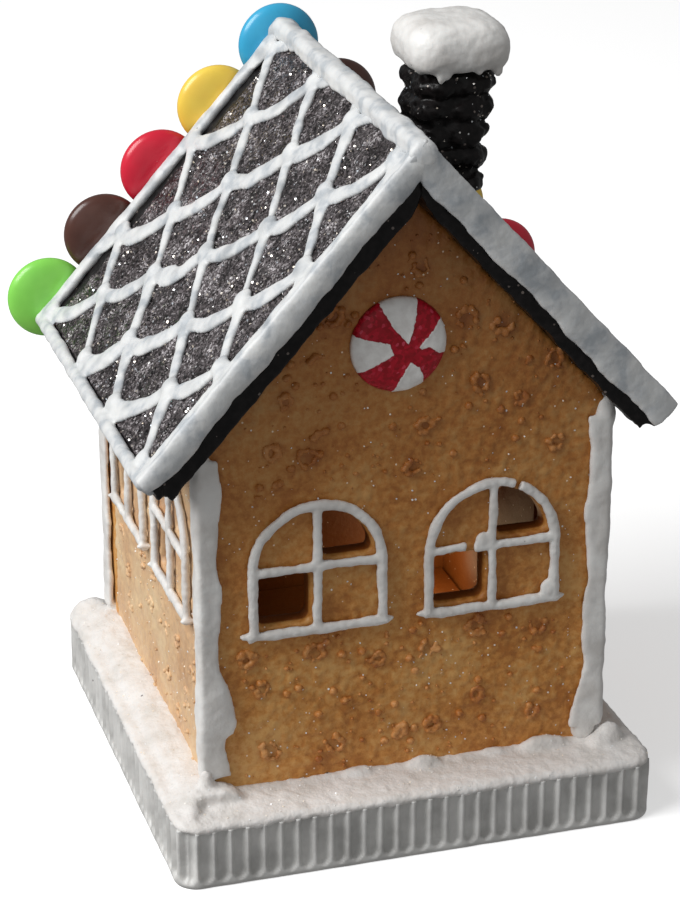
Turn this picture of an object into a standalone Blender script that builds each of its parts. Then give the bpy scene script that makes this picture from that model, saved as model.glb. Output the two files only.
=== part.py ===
"""Gingerbread-house ornament in painted cast resin, on a fluted plinth.

Sizes are in millimetres and become metres where a mesh is made. X runs across the front,
Y from the front to the back and Z up, with the origin under the middle of the plinth.
"""

import math

import bmesh
import bpy
from mathutils import Matrix, Vector

MM = 0.001
GAP = 0.3  # clearance between pieces that touch
WELD = 1e-6  # metres

# Plinth and the icing on it
PLINTH_HALF = (38.0, 39.6)
PLINTH_CORNER = 3.5
PLINTH_TOP = 8.6
FLUTE_RADIUS = 0.95
FLUTE_PITCH = 2.6
FLUTE_START = 1.1
FLUTE_AXIS_OUT = 0.25  # how far a flute's axis lies outside the face
SNOW_TOP = 10.8
BANK_WIDTH = 2.6
BANK_RISE = {"left": 2.2, "elsewhere": 0.7}  # how far the snow climbs the walls

# Walls
WALL_X = 31.0
FRONT_Y = -30.0
BACK_Y = 34.0
WALL = 4.0
WALL_FOOT = PLINTH_TOP + GAP
SIDE_WALL_TOP = 67.0
CORNER_ICING_TOP = 65.4

# Roof: v runs down a slope from the ridge, w stands square to it
RIDGE_Z = 112.3
EAVE_V = {-1: 62.0, 1: 58.8}  # left and right slopes
PITCH = math.radians(47.9)
ROOF_FRONT = -36.0
ROOF_REAR = 34.7
BOARD_TOP_W = -1.5
BOARD_FOOT_W = -6.8
RAKE_FOOT_W = -4.3
SHEET_START_V = 3.8
ICING_FOOT_W = BOARD_TOP_W + GAP

# Windows: half-round heads over square feet, in pairs
WINDOW_RADIUS = 10.0
WINDOW_SPRING_Z = 46.4
WINDOW_DROP = 10.1
STROKE = 1.5
SILL_REACH = 11.4
ICING_PROUD = 1.3
FRONT_WINDOWS = (-13.8, 13.6)
SIDE_WINDOWS_Y = (-12.3, 15.8)

# Sweets
SWEET_RADIUS = 6.65
SWEET_THICKNESS = 4.4
SWEET_FRONT_Y = ROOF_REAR + GAP
SWEET_APEX_Z = 107.2
SWEET_FIRST_V = 17.7
SWEET_STEP_V = 13.87
SWEET_FIRST_W = {-1: -2.0, 1: -2.7}
SWEET_STEP_W = {-1: 0.5, 1: 0.35}  # the lower ones stand a little higher off the slope
MINT_CENTRE = (-1.4, 79.9)
MINT_RADIUS = 7.3
MINT_HEIGHT = 1.7

# Chimney
CHIMNEY_CENTRE = (17.8, 4.0)  # at its top
CHIMNEY_LEAN = 0.14  # towards the ridge, for each millimetre down
CHIMNEY_HALF = 5.8
CHIMNEY_RIB = 0.55
CHIMNEY_TOP = 110.9
COURSE = 3.9
CAP_HALF = 7.9
CAP_FOOT = CHIMNEY_TOP + GAP
CAP_TOP = 118.8

# Piped net on each slope
NET_START = (4.5, 4.6)  # u and v of the first crossing under the ridge
NET_PITCH = 21.0  # from crossing to crossing along a row
NET_ROW_STEP = 10.4
NET_TIGHTENING = 0.2  # how much the rows close up towards the eave
NET_ROWS_BELOW = 8
NET_SAG = 1.0
NET_HALF_STROKE = 0.65
FIELD_U = (3.2, 67.5)  # dark field inside the border icing
FIELD_START_V = 4.6
EAVE_BORDER = 4.2
SMALLEST_CELL = 3.0  # square millimetres


def clear_scene():
    for obj in list(bpy.data.objects):
        bpy.data.objects.remove(obj)


def collection(name, shown=True):
    made = bpy.data.collections.new(name)
    made.hide_render = not shown
    bpy.context.scene.collection.children.link(made)
    return made


clear_scene()
HOUSE = collection("gingerbread_house")
CUTTERS = collection("cutters", shown=False)


def paint(name, red, green, blue, roughness):
    """A Principled material in one colour."""
    material = bpy.data.materials.get(name)
    if material:
        return material
    material = bpy.data.materials.new(name)
    material.use_nodes = True
    shader = material.node_tree.nodes["Principled BSDF"]
    shader.inputs["Base Color"].default_value = (red, green, blue, 1.0)
    shader.inputs["Roughness"].default_value = roughness
    shader.inputs["Metallic"].default_value = 0.0
    return material


def gingerbread():
    return paint("gingerbread_resin", 0.42, 0.21, 0.07, 0.6)


def icing():
    return paint("icing_resin", 0.86, 0.86, 0.85, 0.55)


def black_resin():
    return paint("black_resin", 0.02, 0.02, 0.02, 0.45)


def link(obj, group):
    group.objects.link(obj)
    return obj


def mesh_object(name, bm, material, group=None):
    """Turns a bmesh in millimetres into an object in metres."""
    bmesh.ops.recalc_face_normals(bm, faces=bm.faces)
    bmesh.ops.transform(bm, matrix=Matrix.Scale(MM, 4), verts=bm.verts)
    mesh = bpy.data.meshes.new(name)
    bm.to_mesh(mesh)
    bm.free()
    if material:
        mesh.materials.append(material)
    return link(bpy.data.objects.new(name, mesh), group or HOUSE)


def cutter_object(name, bm):
    obj = mesh_object(name, bm, None, CUTTERS)
    obj.hide_render = True
    obj.display_type = "WIRE"
    return obj


def cut(obj, cutter):
    boolean = obj.modifiers.new(f"cut by {cutter.name}", "BOOLEAN")
    boolean.operation = "DIFFERENCE"
    boolean.object = cutter
    boolean.solver = "EXACT"


def plate(name, loops, low, high, frame, material):
    """A flat solid between two heights of a frame, from closed outlines: the first outer, the rest holes."""
    data = bpy.data.curves.new(name, "CURVE")
    data.dimensions = "2D"
    data.fill_mode = "BOTH"
    data.extrude = (high - low) * MM / 2
    for loop in loops:
        spline = data.splines.new("POLY")
        spline.points.add(len(loop) - 1)
        for point, (x, y) in zip(spline.points, loop):
            point.co = (x * MM, y * MM, 0.0, 1.0)
        spline.use_cyclic_u = True
    curve = link(bpy.data.objects.new(name + "_outline", data), HOUSE)
    graph = bpy.context.evaluated_depsgraph_get()
    mesh = bpy.data.meshes.new_from_object(curve.evaluated_get(graph))
    bpy.data.objects.remove(curve)
    bm = bmesh.new()
    bm.from_mesh(mesh)
    bmesh.ops.remove_doubles(bm, verts=bm.verts, dist=WELD)
    rise = Matrix.Translation((0.0, 0.0, (low + high) * MM / 2))
    placing = Matrix.LocRotScale(frame.translation * MM, frame.to_quaternion(), None)
    bmesh.ops.transform(bm, matrix=placing @ rise, verts=bm.verts)
    bmesh.ops.recalc_face_normals(bm, faces=bm.faces)
    bm.to_mesh(mesh)
    bm.free()
    mesh.name = name
    mesh.materials.clear()
    mesh.materials.append(material)
    return link(bpy.data.objects.new(name, mesh), HOUSE)


def frame_at(origin, across, up):
    """A frame whose X is across, whose Y is up and whose Z faces out."""
    x = Vector(across).normalized()
    y = Vector(up).normalized()
    z = x.cross(y)
    frame = Matrix((x, y, z)).transposed().to_4x4()
    frame.translation = Vector(origin)
    return frame


def loft(bm, rings, capped=True):
    """Quads between rings of points, each with the same count; capped, or closed from last to first."""
    made = [[bm.verts.new(point) for point in ring] for ring in rings]
    count = len(made[0])
    pairs = list(zip(made, made[1:]))
    if not capped:
        pairs.append((made[-1], made[0]))
    for lower, upper in pairs:
        for i in range(count):
            j = (i + 1) % count
            bm.faces.new((lower[i], lower[j], upper[j], upper[i]))
    if capped:
        bm.faces.new(reversed(made[0]))
        bm.faces.new(made[-1])


def rounded_rectangle(x_low, x_high, y_low, y_high, radius, steps):
    """Points of a rectangle with rounded corners, anticlockwise."""
    points = []
    centres = (
        (x_high - radius, y_low + radius, -90),
        (x_high - radius, y_high - radius, 0),
        (x_low + radius, y_high - radius, 90),
        (x_low + radius, y_low + radius, 180),
    )
    for cx, cy, start in centres:
        for i in range(steps + 1):
            angle = math.radians(start + 90 * i / steps)
            points.append((cx + radius * math.cos(angle), cy + radius * math.sin(angle)))
    return points


def slope_point(side, v, w, y=0.0):
    """A point on the left (-1) or right (1) slope, v down it and w out from it."""
    x = v * math.cos(PITCH) + w * math.sin(PITCH)
    z = RIDGE_Z - v * math.sin(PITCH) + w * math.cos(PITCH)
    return Vector((side * x, y, z))


def slope_section(side, corners):
    """Corners given as (v, w) turned into an outline across the house."""
    points = [slope_point(side, v, w) for v, w in corners]
    return [(point.x, point.z) for point in points]


def mitre_v(w):
    """Where a layer at height w stops short of the plane under the ridge."""
    return (GAP / 2 - w * math.sin(PITCH)) / math.cos(PITCH)


# Frames of the four walls, each with Z facing out
WALL_FRAMES = {
    "front": frame_at((0, FRONT_Y, 0), (1, 0, 0), (0, 0, 1)),
    "back": frame_at((0, BACK_Y, 0), (-1, 0, 0), (0, 0, 1)),
    "left": frame_at((-WALL_X, 0, 0), (0, -1, 0), (0, 0, 1)),
    "right": frame_at((WALL_X, 0, 0), (0, 1, 0), (0, 0, 1)),
}
WALL_WINDOWS = {
    "front": FRONT_WINDOWS,
    "back": FRONT_WINDOWS,
    "left": tuple(-y for y in SIDE_WINDOWS_Y),
    "right": SIDE_WINDOWS_Y,
}


def quarter_pane(centre, side, inset):
    """The pane under the window's arch on one side, inset from the strokes' middle lines."""
    radius = WINDOW_RADIUS - inset
    first = math.asin(inset / radius)
    steps = 5
    points = [(centre + side * inset, WINDOW_SPRING_Z + inset)]
    for i in range(steps + 1):
        angle = first + (math.pi / 2 - 2 * first) * i / steps
        points.append((centre + side * radius * math.cos(angle), WINDOW_SPRING_Z + radius * math.sin(angle)))
    return points


def square_pane(centre, side, inset):
    """The pane beside the sill on one side."""
    near = centre + side * inset
    far = centre + side * (WINDOW_RADIUS - inset)
    top = WINDOW_SPRING_Z - inset
    foot = WINDOW_SPRING_Z - WINDOW_DROP + inset
    return [(near, foot), (far, foot), (far, top), (near, top)]


def window_outline(centre):
    """Outer edge of a window's icing: an arch on legs that stand on a wider sill."""
    reach = WINDOW_RADIUS + STROKE / 2
    sill_foot = WINDOW_SPRING_Z - WINDOW_DROP - STROKE / 2
    sill_top = sill_foot + STROKE
    points = [(centre + SILL_REACH, sill_foot), (centre + SILL_REACH, sill_top), (centre + reach, sill_top)]
    steps = 12
    for i in range(steps + 1):
        angle = math.pi * i / steps
        points.append((centre + reach * math.cos(angle), WINDOW_SPRING_Z + reach * math.sin(angle)))
    points += [(centre - reach, sill_top), (centre - SILL_REACH, sill_top), (centre - SILL_REACH, sill_foot)]
    return points


def pierced_panes(centre):
    """The two panes that go through the wall: upper right and lower left, seen from outside."""
    clear = STROKE / 2 + 0.25
    return [quarter_pane(centre, 1, clear), square_pane(centre, -1, clear)]


def make_plinth():
    half_x, half_y = PLINTH_HALF
    outline = rounded_rectangle(-half_x, half_x, -half_y, half_y, PLINTH_CORNER, 5)
    body = plate("plinth", [outline], 0.0, PLINTH_TOP, Matrix.Identity(4), icing())
    bm = bmesh.new()
    height = PLINTH_TOP + 2.0 - FLUTE_START
    middle = FLUTE_START + height / 2
    for along, half, across in ((0, half_x, half_y), (1, half_y, half_x)):
        turn = Matrix.Rotation(math.radians(30 * (1 - along)), 4, "Z")
        count = int((2 * half - 2 * PLINTH_CORNER) / FLUTE_PITCH) + 1
        for i in range(count):
            shift = (i - (count - 1) / 2) * FLUTE_PITCH
            for side in (-1, 1):
                edge = side * (across + FLUTE_AXIS_OUT)
                place = (shift, edge, middle) if along == 0 else (edge, shift, middle)
                bmesh.ops.create_cone(
                    bm,
                    cap_ends=True,
                    segments=6,
                    radius1=FLUTE_RADIUS,
                    radius2=FLUTE_RADIUS,
                    depth=height,
                    matrix=Matrix.Translation(place) @ turn,
                )
    cut(body, cutter_object("flutes", bm))


def make_base_icing():
    """The snow on the ledge round the walls, rising in a bank against them."""
    half_x, half_y = PLINTH_HALF
    steps = 5
    low = PLINTH_TOP + GAP
    clear = GAP

    def ring(x_high, y_low, y_high, radius, z):
        points = rounded_rectangle(-x_high, x_high, y_low, y_high, radius, steps)
        return [(x, y, z) for x, y in points]

    def banked(ring_points):
        wall_x = -WALL_X - clear
        rises = [BANK_RISE["left" if x < wall_x + WELD else "elsewhere"] for x, y, z in ring_points]
        return [(x, y, SNOW_TOP + rise) for (x, y, z), rise in zip(ring_points, rises)]

    inner = (WALL_X + clear, FRONT_Y - clear, BACK_Y + clear, 0.3)
    bank = (WALL_X + BANK_WIDTH, FRONT_Y - BANK_WIDTH, BACK_Y + BANK_WIDTH, 2.0)
    outer = (half_x - 0.7, -half_y + 0.7, half_y - 0.7, PLINTH_CORNER)
    edge = (half_x, -half_y, half_y, PLINTH_CORNER)
    rings = [
        ring(*edge, low),
        ring(*edge, SNOW_TOP - 0.7),
        ring(*outer, SNOW_TOP),
        ring(*bank, SNOW_TOP),
        banked(ring(*inner, SNOW_TOP)),
        ring(*inner, low),
    ]
    bm = bmesh.new()
    loft(bm, rings, capped=False)
    mesh_object("base_icing", bm, icing())


def gable_outline():
    """A gable panel: square foot, and a top that runs under both roof boards."""
    clear_w = BOARD_FOOT_W - GAP
    foot_v = (WALL_X - clear_w * math.sin(PITCH)) / math.cos(PITCH)
    shoulder = slope_point(1, foot_v, clear_w)
    apex_z = RIDGE_Z + clear_w / math.cos(PITCH)
    foot = [(-WALL_X, WALL_FOOT), (WALL_X, WALL_FOOT)]
    return foot + [(WALL_X, shoulder.z), (0.0, apex_z), (-WALL_X, shoulder.z)]


def side_outline(side):
    """A side wall's panel, which fits between the gables."""
    front = FRONT_Y + WALL + GAP
    back = BACK_Y - WALL - GAP
    near, far = sorted((side * front, side * back))
    return [(near, WALL_FOOT), (far, WALL_FOOT), (far, SIDE_WALL_TOP), (near, SIDE_WALL_TOP)]


def make_walls():
    outlines = {
        "front": gable_outline(),
        "back": gable_outline(),
        "left": side_outline(-1),
        "right": side_outline(1),
    }
    for name, frame in WALL_FRAMES.items():
        holes = [pane for centre in WALL_WINDOWS[name] for pane in pierced_panes(centre)]
        plate(f"{name}_wall", [outlines[name]] + holes, -WALL, 0.0, frame, gingerbread())


def make_windows():
    for name, frame in WALL_FRAMES.items():
        for number, centre in enumerate(WALL_WINDOWS[name], start=1):
            inset = STROKE / 2
            panes = [quarter_pane(centre, side, inset) for side in (-1, 1)]
            panes += [square_pane(centre, side, inset) for side in (-1, 1)]
            loops = [window_outline(centre)] + panes
            plate(f"{name}_window_icing_{number}", loops, GAP, GAP + ICING_PROUD, frame, icing())


def make_corner_icing():
    """A wavy strip of icing wrapped round each upright corner of the house."""
    foot = SNOW_TOP + BANK_RISE["left"] + GAP
    levels = 11
    for x_side, x_name in ((-1, "left"), (1, "right")):
        for y_edge, y_side, y_name in ((FRONT_Y, -1, "front"), (BACK_Y, 1, "back")):
            rings = []
            for i in range(levels):
                z = foot + (CORNER_ICING_TOP - foot) * i / (levels - 1)
                phase = 1.9 * i + 2.0 * x_side + y_side
                leg_x = 2.3 + 0.45 * math.sin(phase)
                leg_y = 2.3 + 0.45 * math.cos(1.3 * phase)
                flare = 1.6 * max(0.0, 1.0 - i / 2.2)
                leg_x += flare
                corners = (
                    (GAP, leg_y * -1),
                    (GAP + 0.9, leg_y * -1),
                    (GAP + 1.1, GAP + 0.5),
                    (GAP + 0.5, GAP + 1.1),
                    (leg_x * -1, GAP + 0.9),
                    (leg_x * -1, GAP),
                    (GAP, GAP),
                )
                rings.append([(x_side * (WALL_X + dx), y_edge + y_side * dy, z) for dx, dy in corners])
            bm = bmesh.new()
            loft(bm, rings)
            mesh_object(f"corner_icing_{y_name}_{x_name}", bm, icing())


def make_roof_boards():
    frame = frame_at((0, 0, 0), (1, 0, 0), (0, 0, 1))
    for side, name in ((-1, "left"), (1, "right")):
        corners = (
            (mitre_v(BOARD_TOP_W), BOARD_TOP_W),
            (EAVE_V[side], BOARD_TOP_W),
            (EAVE_V[side], BOARD_FOOT_W),
            (mitre_v(BOARD_FOOT_W), BOARD_FOOT_W),
        )
        section = slope_section(side, corners)
        plate(f"roof_board_{name}", [section], -ROOF_REAR, -ROOF_FRONT, frame, black_resin())


def sagging_mid(first, second):
    """The middle of a strand between two net nodes, hung towards the eave."""
    middle = (first + second) / 2
    run = second - first
    square = Vector((-run.y, run.x)).normalized()
    if square.y < 0:
        square.negate()
    return middle + square * NET_SAG


def inset(loop, distance):
    """Moves each side of an anticlockwise or clockwise outline inwards."""
    area = sum(a.x * b.y - b.x * a.y for a, b in zip(loop, loop[1:] + loop[:1]))
    turn = 1 if area > 0 else -1
    moved = []
    for before, here, after in zip(loop[-1:] + loop[:-1], loop, loop[1:] + loop[:1]):
        first = (here - before).normalized()
        second = (after - here).normalized()
        normals = [Vector((-d.y, d.x)) * turn for d in (first, second)]
        mean = (normals[0] + normals[1]).normalized()
        moved.append(here + mean * distance / max(0.4, mean.dot(normals[0])))
    return moved


def clip(loop, axis, limit, keep_above):
    """Keeps the part of an outline on one side of a line."""
    kept = []
    for a, b in zip(loop, loop[1:] + loop[:1]):
        a_in = (a[axis] >= limit) == keep_above
        b_in = (b[axis] >= limit) == keep_above
        if a_in:
            kept.append(a)
        if a_in != b_in:
            kept.append(a.lerp(b, (limit - a[axis]) / (b[axis] - a[axis])))
    return kept


def net_rows():
    """Crossings of the net as (u, v), from one row above the field down; every other row is shifted by half a pitch."""
    start_u, start_v = NET_START
    rows = []
    for k in range(-1, NET_ROWS_BELOW):
        v = start_v + NET_ROW_STEP * k - NET_TIGHTENING * k * k
        first = start_u - NET_PITCH / 2 * (k % 2)
        count = math.ceil((ROOF_REAR - ROOF_FRONT) / NET_PITCH) + 1
        rows.append([Vector((first + NET_PITCH * i, v)) for i in range(count)])
    return rows


def net_cells(end_v):
    """Openings of the net in (u, v), down to end_v: u runs forward from the roof's rear, v down the slope."""
    limits = ((0, FIELD_U[0], True), (0, FIELD_U[1], False), (1, FIELD_START_V, True), (1, end_v, False))
    rows = net_rows()
    cells = []
    for above, here, below in zip(rows, rows[1:], rows[2:]):
        for left, right in zip(here, here[1:]):
            between = [[n for n in row if left.x < n.x < right.x] for row in (above, below)]
            if not between[0] or not between[1]:
                continue
            top, foot = between[0][0], between[1][0]
            loop = []
            for a, b in ((top, right), (right, foot), (foot, left), (left, top)):
                loop += [a, sagging_mid(a, b)]
            loop = inset(loop, NET_HALF_STROKE)
            for axis, limit, keep_above in limits:
                loop = clip(loop, axis, limit, keep_above) if loop else loop
            if len(loop) < 3:
                continue
            area = abs(sum(a.x * b.y - b.x * a.y for a, b in zip(loop, loop[1:] + loop[:1]))) / 2
            if area > SMALLEST_CELL:
                cells.append(loop)
    return cells


def make_roof_icing():
    """On each slope a sheet of icing pierced into a net, with strips down its front and along its eave."""
    across_house = frame_at((0, 0, 0), (1, 0, 0), (0, 0, 1))
    start_v = SHEET_START_V
    for side, name in ((-1, "left"), (1, "right")):
        frame = frame_at((0, 0, RIDGE_Z), (0, side, 0), (-side * math.cos(PITCH), 0, math.sin(PITCH)))
        end_v = EAVE_V[side]
        border = [(ROOF_REAR, start_v), (ROOF_FRONT, start_v), (ROOF_FRONT, end_v), (ROOF_REAR, end_v)]
        net = net_cells(end_v - EAVE_BORDER)
        cells = [[(ROOF_REAR - point.x, point.y) for point in cell] for cell in net]
        loops = [[(side * y, -v) for y, v in loop] for loop in [border] + cells]
        sheet = plate(f"roof_icing_{name}", loops, ICING_FOOT_W, 0.0, frame, icing())
        if side > 0:
            cut(sheet, chimney_clearance())
        rake = (
            (mitre_v(BOARD_TOP_W), BOARD_TOP_W),
            (start_v, BOARD_TOP_W),
            (start_v, 0.0),
            (end_v + 1.2, 0.0),
            (end_v + 1.2, RAKE_FOOT_W),
            (mitre_v(RAKE_FOOT_W), RAKE_FOOT_W),
        )
        section = slope_section(side, rake)
        front = -ROOF_FRONT + GAP
        plate(f"rake_icing_{name}", [section], front, front + 1.1, across_house, icing())
        lip = ((end_v + GAP, 0.0), (end_v + 1.4, -0.3), (end_v + 1.4, -3.3), (end_v + GAP, -3.8))
        section = slope_section(side, lip)
        plate(f"eave_icing_{name}", [section], -ROOF_REAR, -ROOF_FRONT, across_house, icing())


def make_ridge_icing():
    """A thick rope of icing saddled over the ridge, from the rear to the front of the rake icing."""
    foot_v = SHEET_START_V - GAP
    right = [slope_point(1, v, w) for v, w in ((foot_v, ICING_FOOT_W), (foot_v, 0.1), (2.4, 0.6), (1.1, 0.6))]
    crown = [(point.x, point.z) for point in right]
    outline = crown + [(0.0, RIDGE_Z + 0.5)] + [(-x, z) for x, z in reversed(crown)]
    outline.append((0.0, RIDGE_Z + ICING_FOOT_W / math.cos(PITCH)))
    frame = frame_at((0, 0, 0), (1, 0, 0), (0, 0, 1))
    plate("ridge_icing", [outline], -ROOF_REAR, -ROOF_FRONT + GAP + 1.1, frame, icing())


def chimney_clearance():
    """The upright shaft that the roof's icing leaves free for the chimney."""
    bm = bmesh.new()
    side = 2 * (CHIMNEY_HALF + CHIMNEY_RIB + GAP)
    x, y = CHIMNEY_CENTRE
    lean = Matrix.Identity(4)
    lean[0][2] = CHIMNEY_LEAN
    height = 90.0
    matrix = Matrix.Translation((x, y, CHIMNEY_TOP)) @ lean @ Matrix.Diagonal((side, side, height, 1.0))
    bmesh.ops.create_cube(bm, size=1.0, matrix=matrix)
    return cutter_object("chimney_clearance", bm)


def square_ring(half, z, round_share=0.3, steps=1):
    x, y = CHIMNEY_CENTRE
    x -= CHIMNEY_LEAN * (CHIMNEY_TOP - z)
    points = rounded_rectangle(x - half, x + half, y - half, y + half, half * round_share, steps)
    return [(px, py, z) for px, py in points]


def make_chimney():
    """A square shaft of rounded courses, cut off along the slope that it stands on."""
    rings = []
    z = CHIMNEY_TOP
    while z > RIDGE_Z - 45.0:
        rings.append(square_ring(CHIMNEY_HALF + CHIMNEY_RIB, z - 0.3 * COURSE))
        rings.append(square_ring(CHIMNEY_HALF + CHIMNEY_RIB, z - 0.6 * COURSE))
        rings.append(square_ring(CHIMNEY_HALF - CHIMNEY_RIB, z - COURSE))
        z -= COURSE
    rings.insert(0, square_ring(CHIMNEY_HALF - CHIMNEY_RIB, CHIMNEY_TOP))
    bm = bmesh.new()
    loft(bm, list(reversed(rings)))
    seat = slope_point(1, 0.0, ICING_FOOT_W)
    normal = slope_point(1, 0.0, 1.0) - slope_point(1, 0.0, 0.0)
    whole = bm.verts[:] + bm.edges[:] + bm.faces[:]
    made = bmesh.ops.bisect_plane(bm, geom=whole, plane_co=seat, plane_no=normal, clear_inner=True)
    edges = [item for item in made["geom_cut"] if isinstance(item, bmesh.types.BMEdge)]
    bmesh.ops.contextual_create(bm, geom=edges)
    mesh_object("chimney", bm, black_resin())


def make_chimney_cap():
    """A pillow of icing over the chimney's mouth, with a scalloped foot."""
    x, y = CHIMNEY_CENTRE
    rings = []
    height = CAP_TOP - CAP_FOOT
    profile = ((0.0, 0.84), (0.07, 0.95), (0.3, 1.0), (0.68, 0.98), (0.9, 0.84), (1.0, 0.55))
    for rise_share, share in profile:
        rise = height * rise_share
        half = CAP_HALF * share
        points = rounded_rectangle(x - half, x + half, y - half, y + half, half * 0.45, 5)
        rings.append([(px, py, CAP_FOOT + rise) for px, py in points])
    bm = bmesh.new()
    loft(bm, rings)
    mesh_object("chimney_cap_icing", bm, icing())


def turned(name, profile, steps, frame, material):
    """A solid turned about the frame's Z from a profile of (radius, height), top to bottom."""
    bm = bmesh.new()
    verts = [bm.verts.new((radius, 0.0, height)) for radius, height in profile]
    for a, b in zip(verts, verts[1:]):
        bm.edges.new((a, b))
    bmesh.ops.transform(bm, matrix=Matrix.Scale(MM, 4), verts=bm.verts)
    mesh = bpy.data.meshes.new(name)
    bm.to_mesh(mesh)
    bm.free()
    mesh.materials.append(material)
    obj = link(bpy.data.objects.new(name, mesh), HOUSE)
    screw = obj.modifiers.new("turn", "SCREW")
    screw.axis = "Z"
    screw.steps = steps
    screw.render_steps = steps
    screw.use_merge_vertices = True
    screw.merge_threshold = 1e-5
    screw.use_smooth_shade = True
    obj.location = frame.translation * MM
    obj.rotation_mode = "QUATERNION"
    obj.rotation_quaternion = frame.to_quaternion()
    return obj


def make_sweet(name, x, z, material):
    """A sugar-shelled lentil on edge behind the roof: domed faces and a rounded rim."""
    half = SWEET_THICKNESS / 2
    profile = [(0.0, half)]
    steps = 5
    for i in range(1, steps):
        angle = math.pi * i / steps
        profile.append((SWEET_RADIUS * math.sin(angle) ** 0.62, half * math.cos(angle)))
    profile.append((0.0, -half))
    centre = (x, SWEET_FRONT_Y + half, z)
    turned(name, profile, 20, frame_at(centre, (1, 0, 0), (0, 0, 1)), material)


def make_sweets():
    shells = {
        "blue": paint("blue_shell", 0.06, 0.40, 0.68, 0.3),
        "yellow": paint("yellow_shell", 0.80, 0.50, 0.05, 0.3),
        "red": paint("red_shell", 0.65, 0.02, 0.04, 0.3),
        "brown": paint("brown_shell", 0.09, 0.035, 0.025, 0.3),
        "green": paint("green_shell", 0.16, 0.60, 0.04, 0.3),
    }
    orders = {
        (-1, "left"): ("yellow", "red", "brown", "green"),
        (1, "right"): ("brown", "green", "yellow", "red"),
    }
    make_sweet("sweet_apex_blue", 0.0, SWEET_APEX_Z, shells["blue"])
    for (side, name), colours in orders.items():
        for i, colour in enumerate(colours):
            v = SWEET_FIRST_V + SWEET_STEP_V * i
            centre = slope_point(side, v, SWEET_FIRST_W[side] + SWEET_STEP_W[side] * i)
            make_sweet(f"sweet_{name}_{colour}", centre.x, centre.z, shells[colour])


def make_peppermints():
    """A low striped dome on each gable."""
    material = paint("peppermint_resin", 0.75, 0.10, 0.12, 0.4)
    x, z = MINT_CENTRE
    dome = ((0.0, MINT_HEIGHT), (4.2, MINT_HEIGHT - 0.25), (6.6, MINT_HEIGHT - 0.8))
    profile = dome + ((MINT_RADIUS, 0.4), (MINT_RADIUS - 0.1, 0.0), (0.0, 0.0))
    for name in ("front", "back"):
        wall = WALL_FRAMES[name]
        centre = wall @ Vector((x, z, GAP))
        frame = wall.copy()
        frame.translation = centre
        turned(f"peppermint_{name}", profile, 24, frame, material)


make_plinth()
make_base_icing()
make_walls()
make_windows()
make_corner_icing()
make_roof_boards()
make_roof_icing()
make_ridge_icing()
make_chimney()
make_chimney_cap()
make_sweets()
make_peppermints()
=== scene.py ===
"""A small cast-resin ornament in the shape of an iced gingerbread house.

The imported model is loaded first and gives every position. Each sub-assembly below is a class that
shapes its own castings in millimetres, scales them to metres and dresses them in their finishes.
"""

import logging
import math
import random
from dataclasses import dataclass, field
from enum import Enum
from typing import Any, Callable, Iterable, Sequence

import bmesh
import bpy
from mathutils import Matrix, Vector, noise


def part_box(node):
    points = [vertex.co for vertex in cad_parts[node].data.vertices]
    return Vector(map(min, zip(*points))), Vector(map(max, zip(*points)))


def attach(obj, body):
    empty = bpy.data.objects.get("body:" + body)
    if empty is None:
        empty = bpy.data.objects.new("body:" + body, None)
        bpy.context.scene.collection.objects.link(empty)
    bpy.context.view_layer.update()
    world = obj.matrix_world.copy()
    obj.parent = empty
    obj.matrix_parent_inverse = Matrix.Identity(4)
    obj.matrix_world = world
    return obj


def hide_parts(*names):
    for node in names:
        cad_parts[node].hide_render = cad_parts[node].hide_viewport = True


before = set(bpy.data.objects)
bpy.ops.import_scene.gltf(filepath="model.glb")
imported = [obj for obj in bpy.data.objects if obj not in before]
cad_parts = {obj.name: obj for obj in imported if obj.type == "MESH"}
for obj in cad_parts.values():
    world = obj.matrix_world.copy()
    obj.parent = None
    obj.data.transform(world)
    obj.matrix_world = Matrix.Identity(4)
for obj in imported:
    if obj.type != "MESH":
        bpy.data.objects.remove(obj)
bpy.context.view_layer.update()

LOG = logging.getLogger("gingerbread_house")
MM = 0.001


# --------------------------------------------------------------------------- colours and node trees


def linear(hex_colour: str) -> tuple[float, float, float, float]:
    """Turns an sRGB hex colour into the linear RGBA that a shader works in.

    Args:
        hex_colour: six hex digits with a leading hash.

    Returns:
        Linear red, green, blue and an alpha of one.
    """
    parts = [int(hex_colour[i : i + 2], 16) / 255 for i in (1, 3, 5)]
    red, green, blue = (p / 12.92 if p <= 0.04045 else ((p + 0.055) / 1.055) ** 2.4 for p in parts)
    return red, green, blue, 1.0


def grain(size_mm: float) -> float:
    """The scale of a texture on Object coordinates whose features are this many millimetres."""
    return 1000.0 / size_mm


def add(
    tree: bpy.types.NodeTree,
    kind: str,
    settings: dict[Any, Any] | None = None,
    links: dict[Any, bpy.types.NodeSocket] | None = None,
) -> bpy.types.Node:
    """Adds one node to a tree.

    Args:
        tree: the tree that the node goes into.
        kind: the node's type name.
        settings: input names or numbers with their values, node properties with theirs, and for a
            colour ramp "stops", a list of places and hex colours.
        links: inputs with the sockets that feed them.

    Returns:
        The new node.
    """
    made = tree.nodes.new(kind)
    values = dict(settings or {})
    stops = values.pop("stops", [])
    for key in [k for k in values if isinstance(k, str) and hasattr(made, k)]:
        setattr(made, key, values.pop(key))
    for key, value in values.items():
        made.inputs[key].default_value = value
    for index, (place, colour) in enumerate(stops):
        stop = made.color_ramp.elements[index] if index < 2 else made.color_ramp.elements.new(place)
        stop.position = place
        stop.color = linear(colour)
    for key, socket in (links or {}).items():
        tree.links.new(socket, made.inputs[key])
    return made


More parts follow.
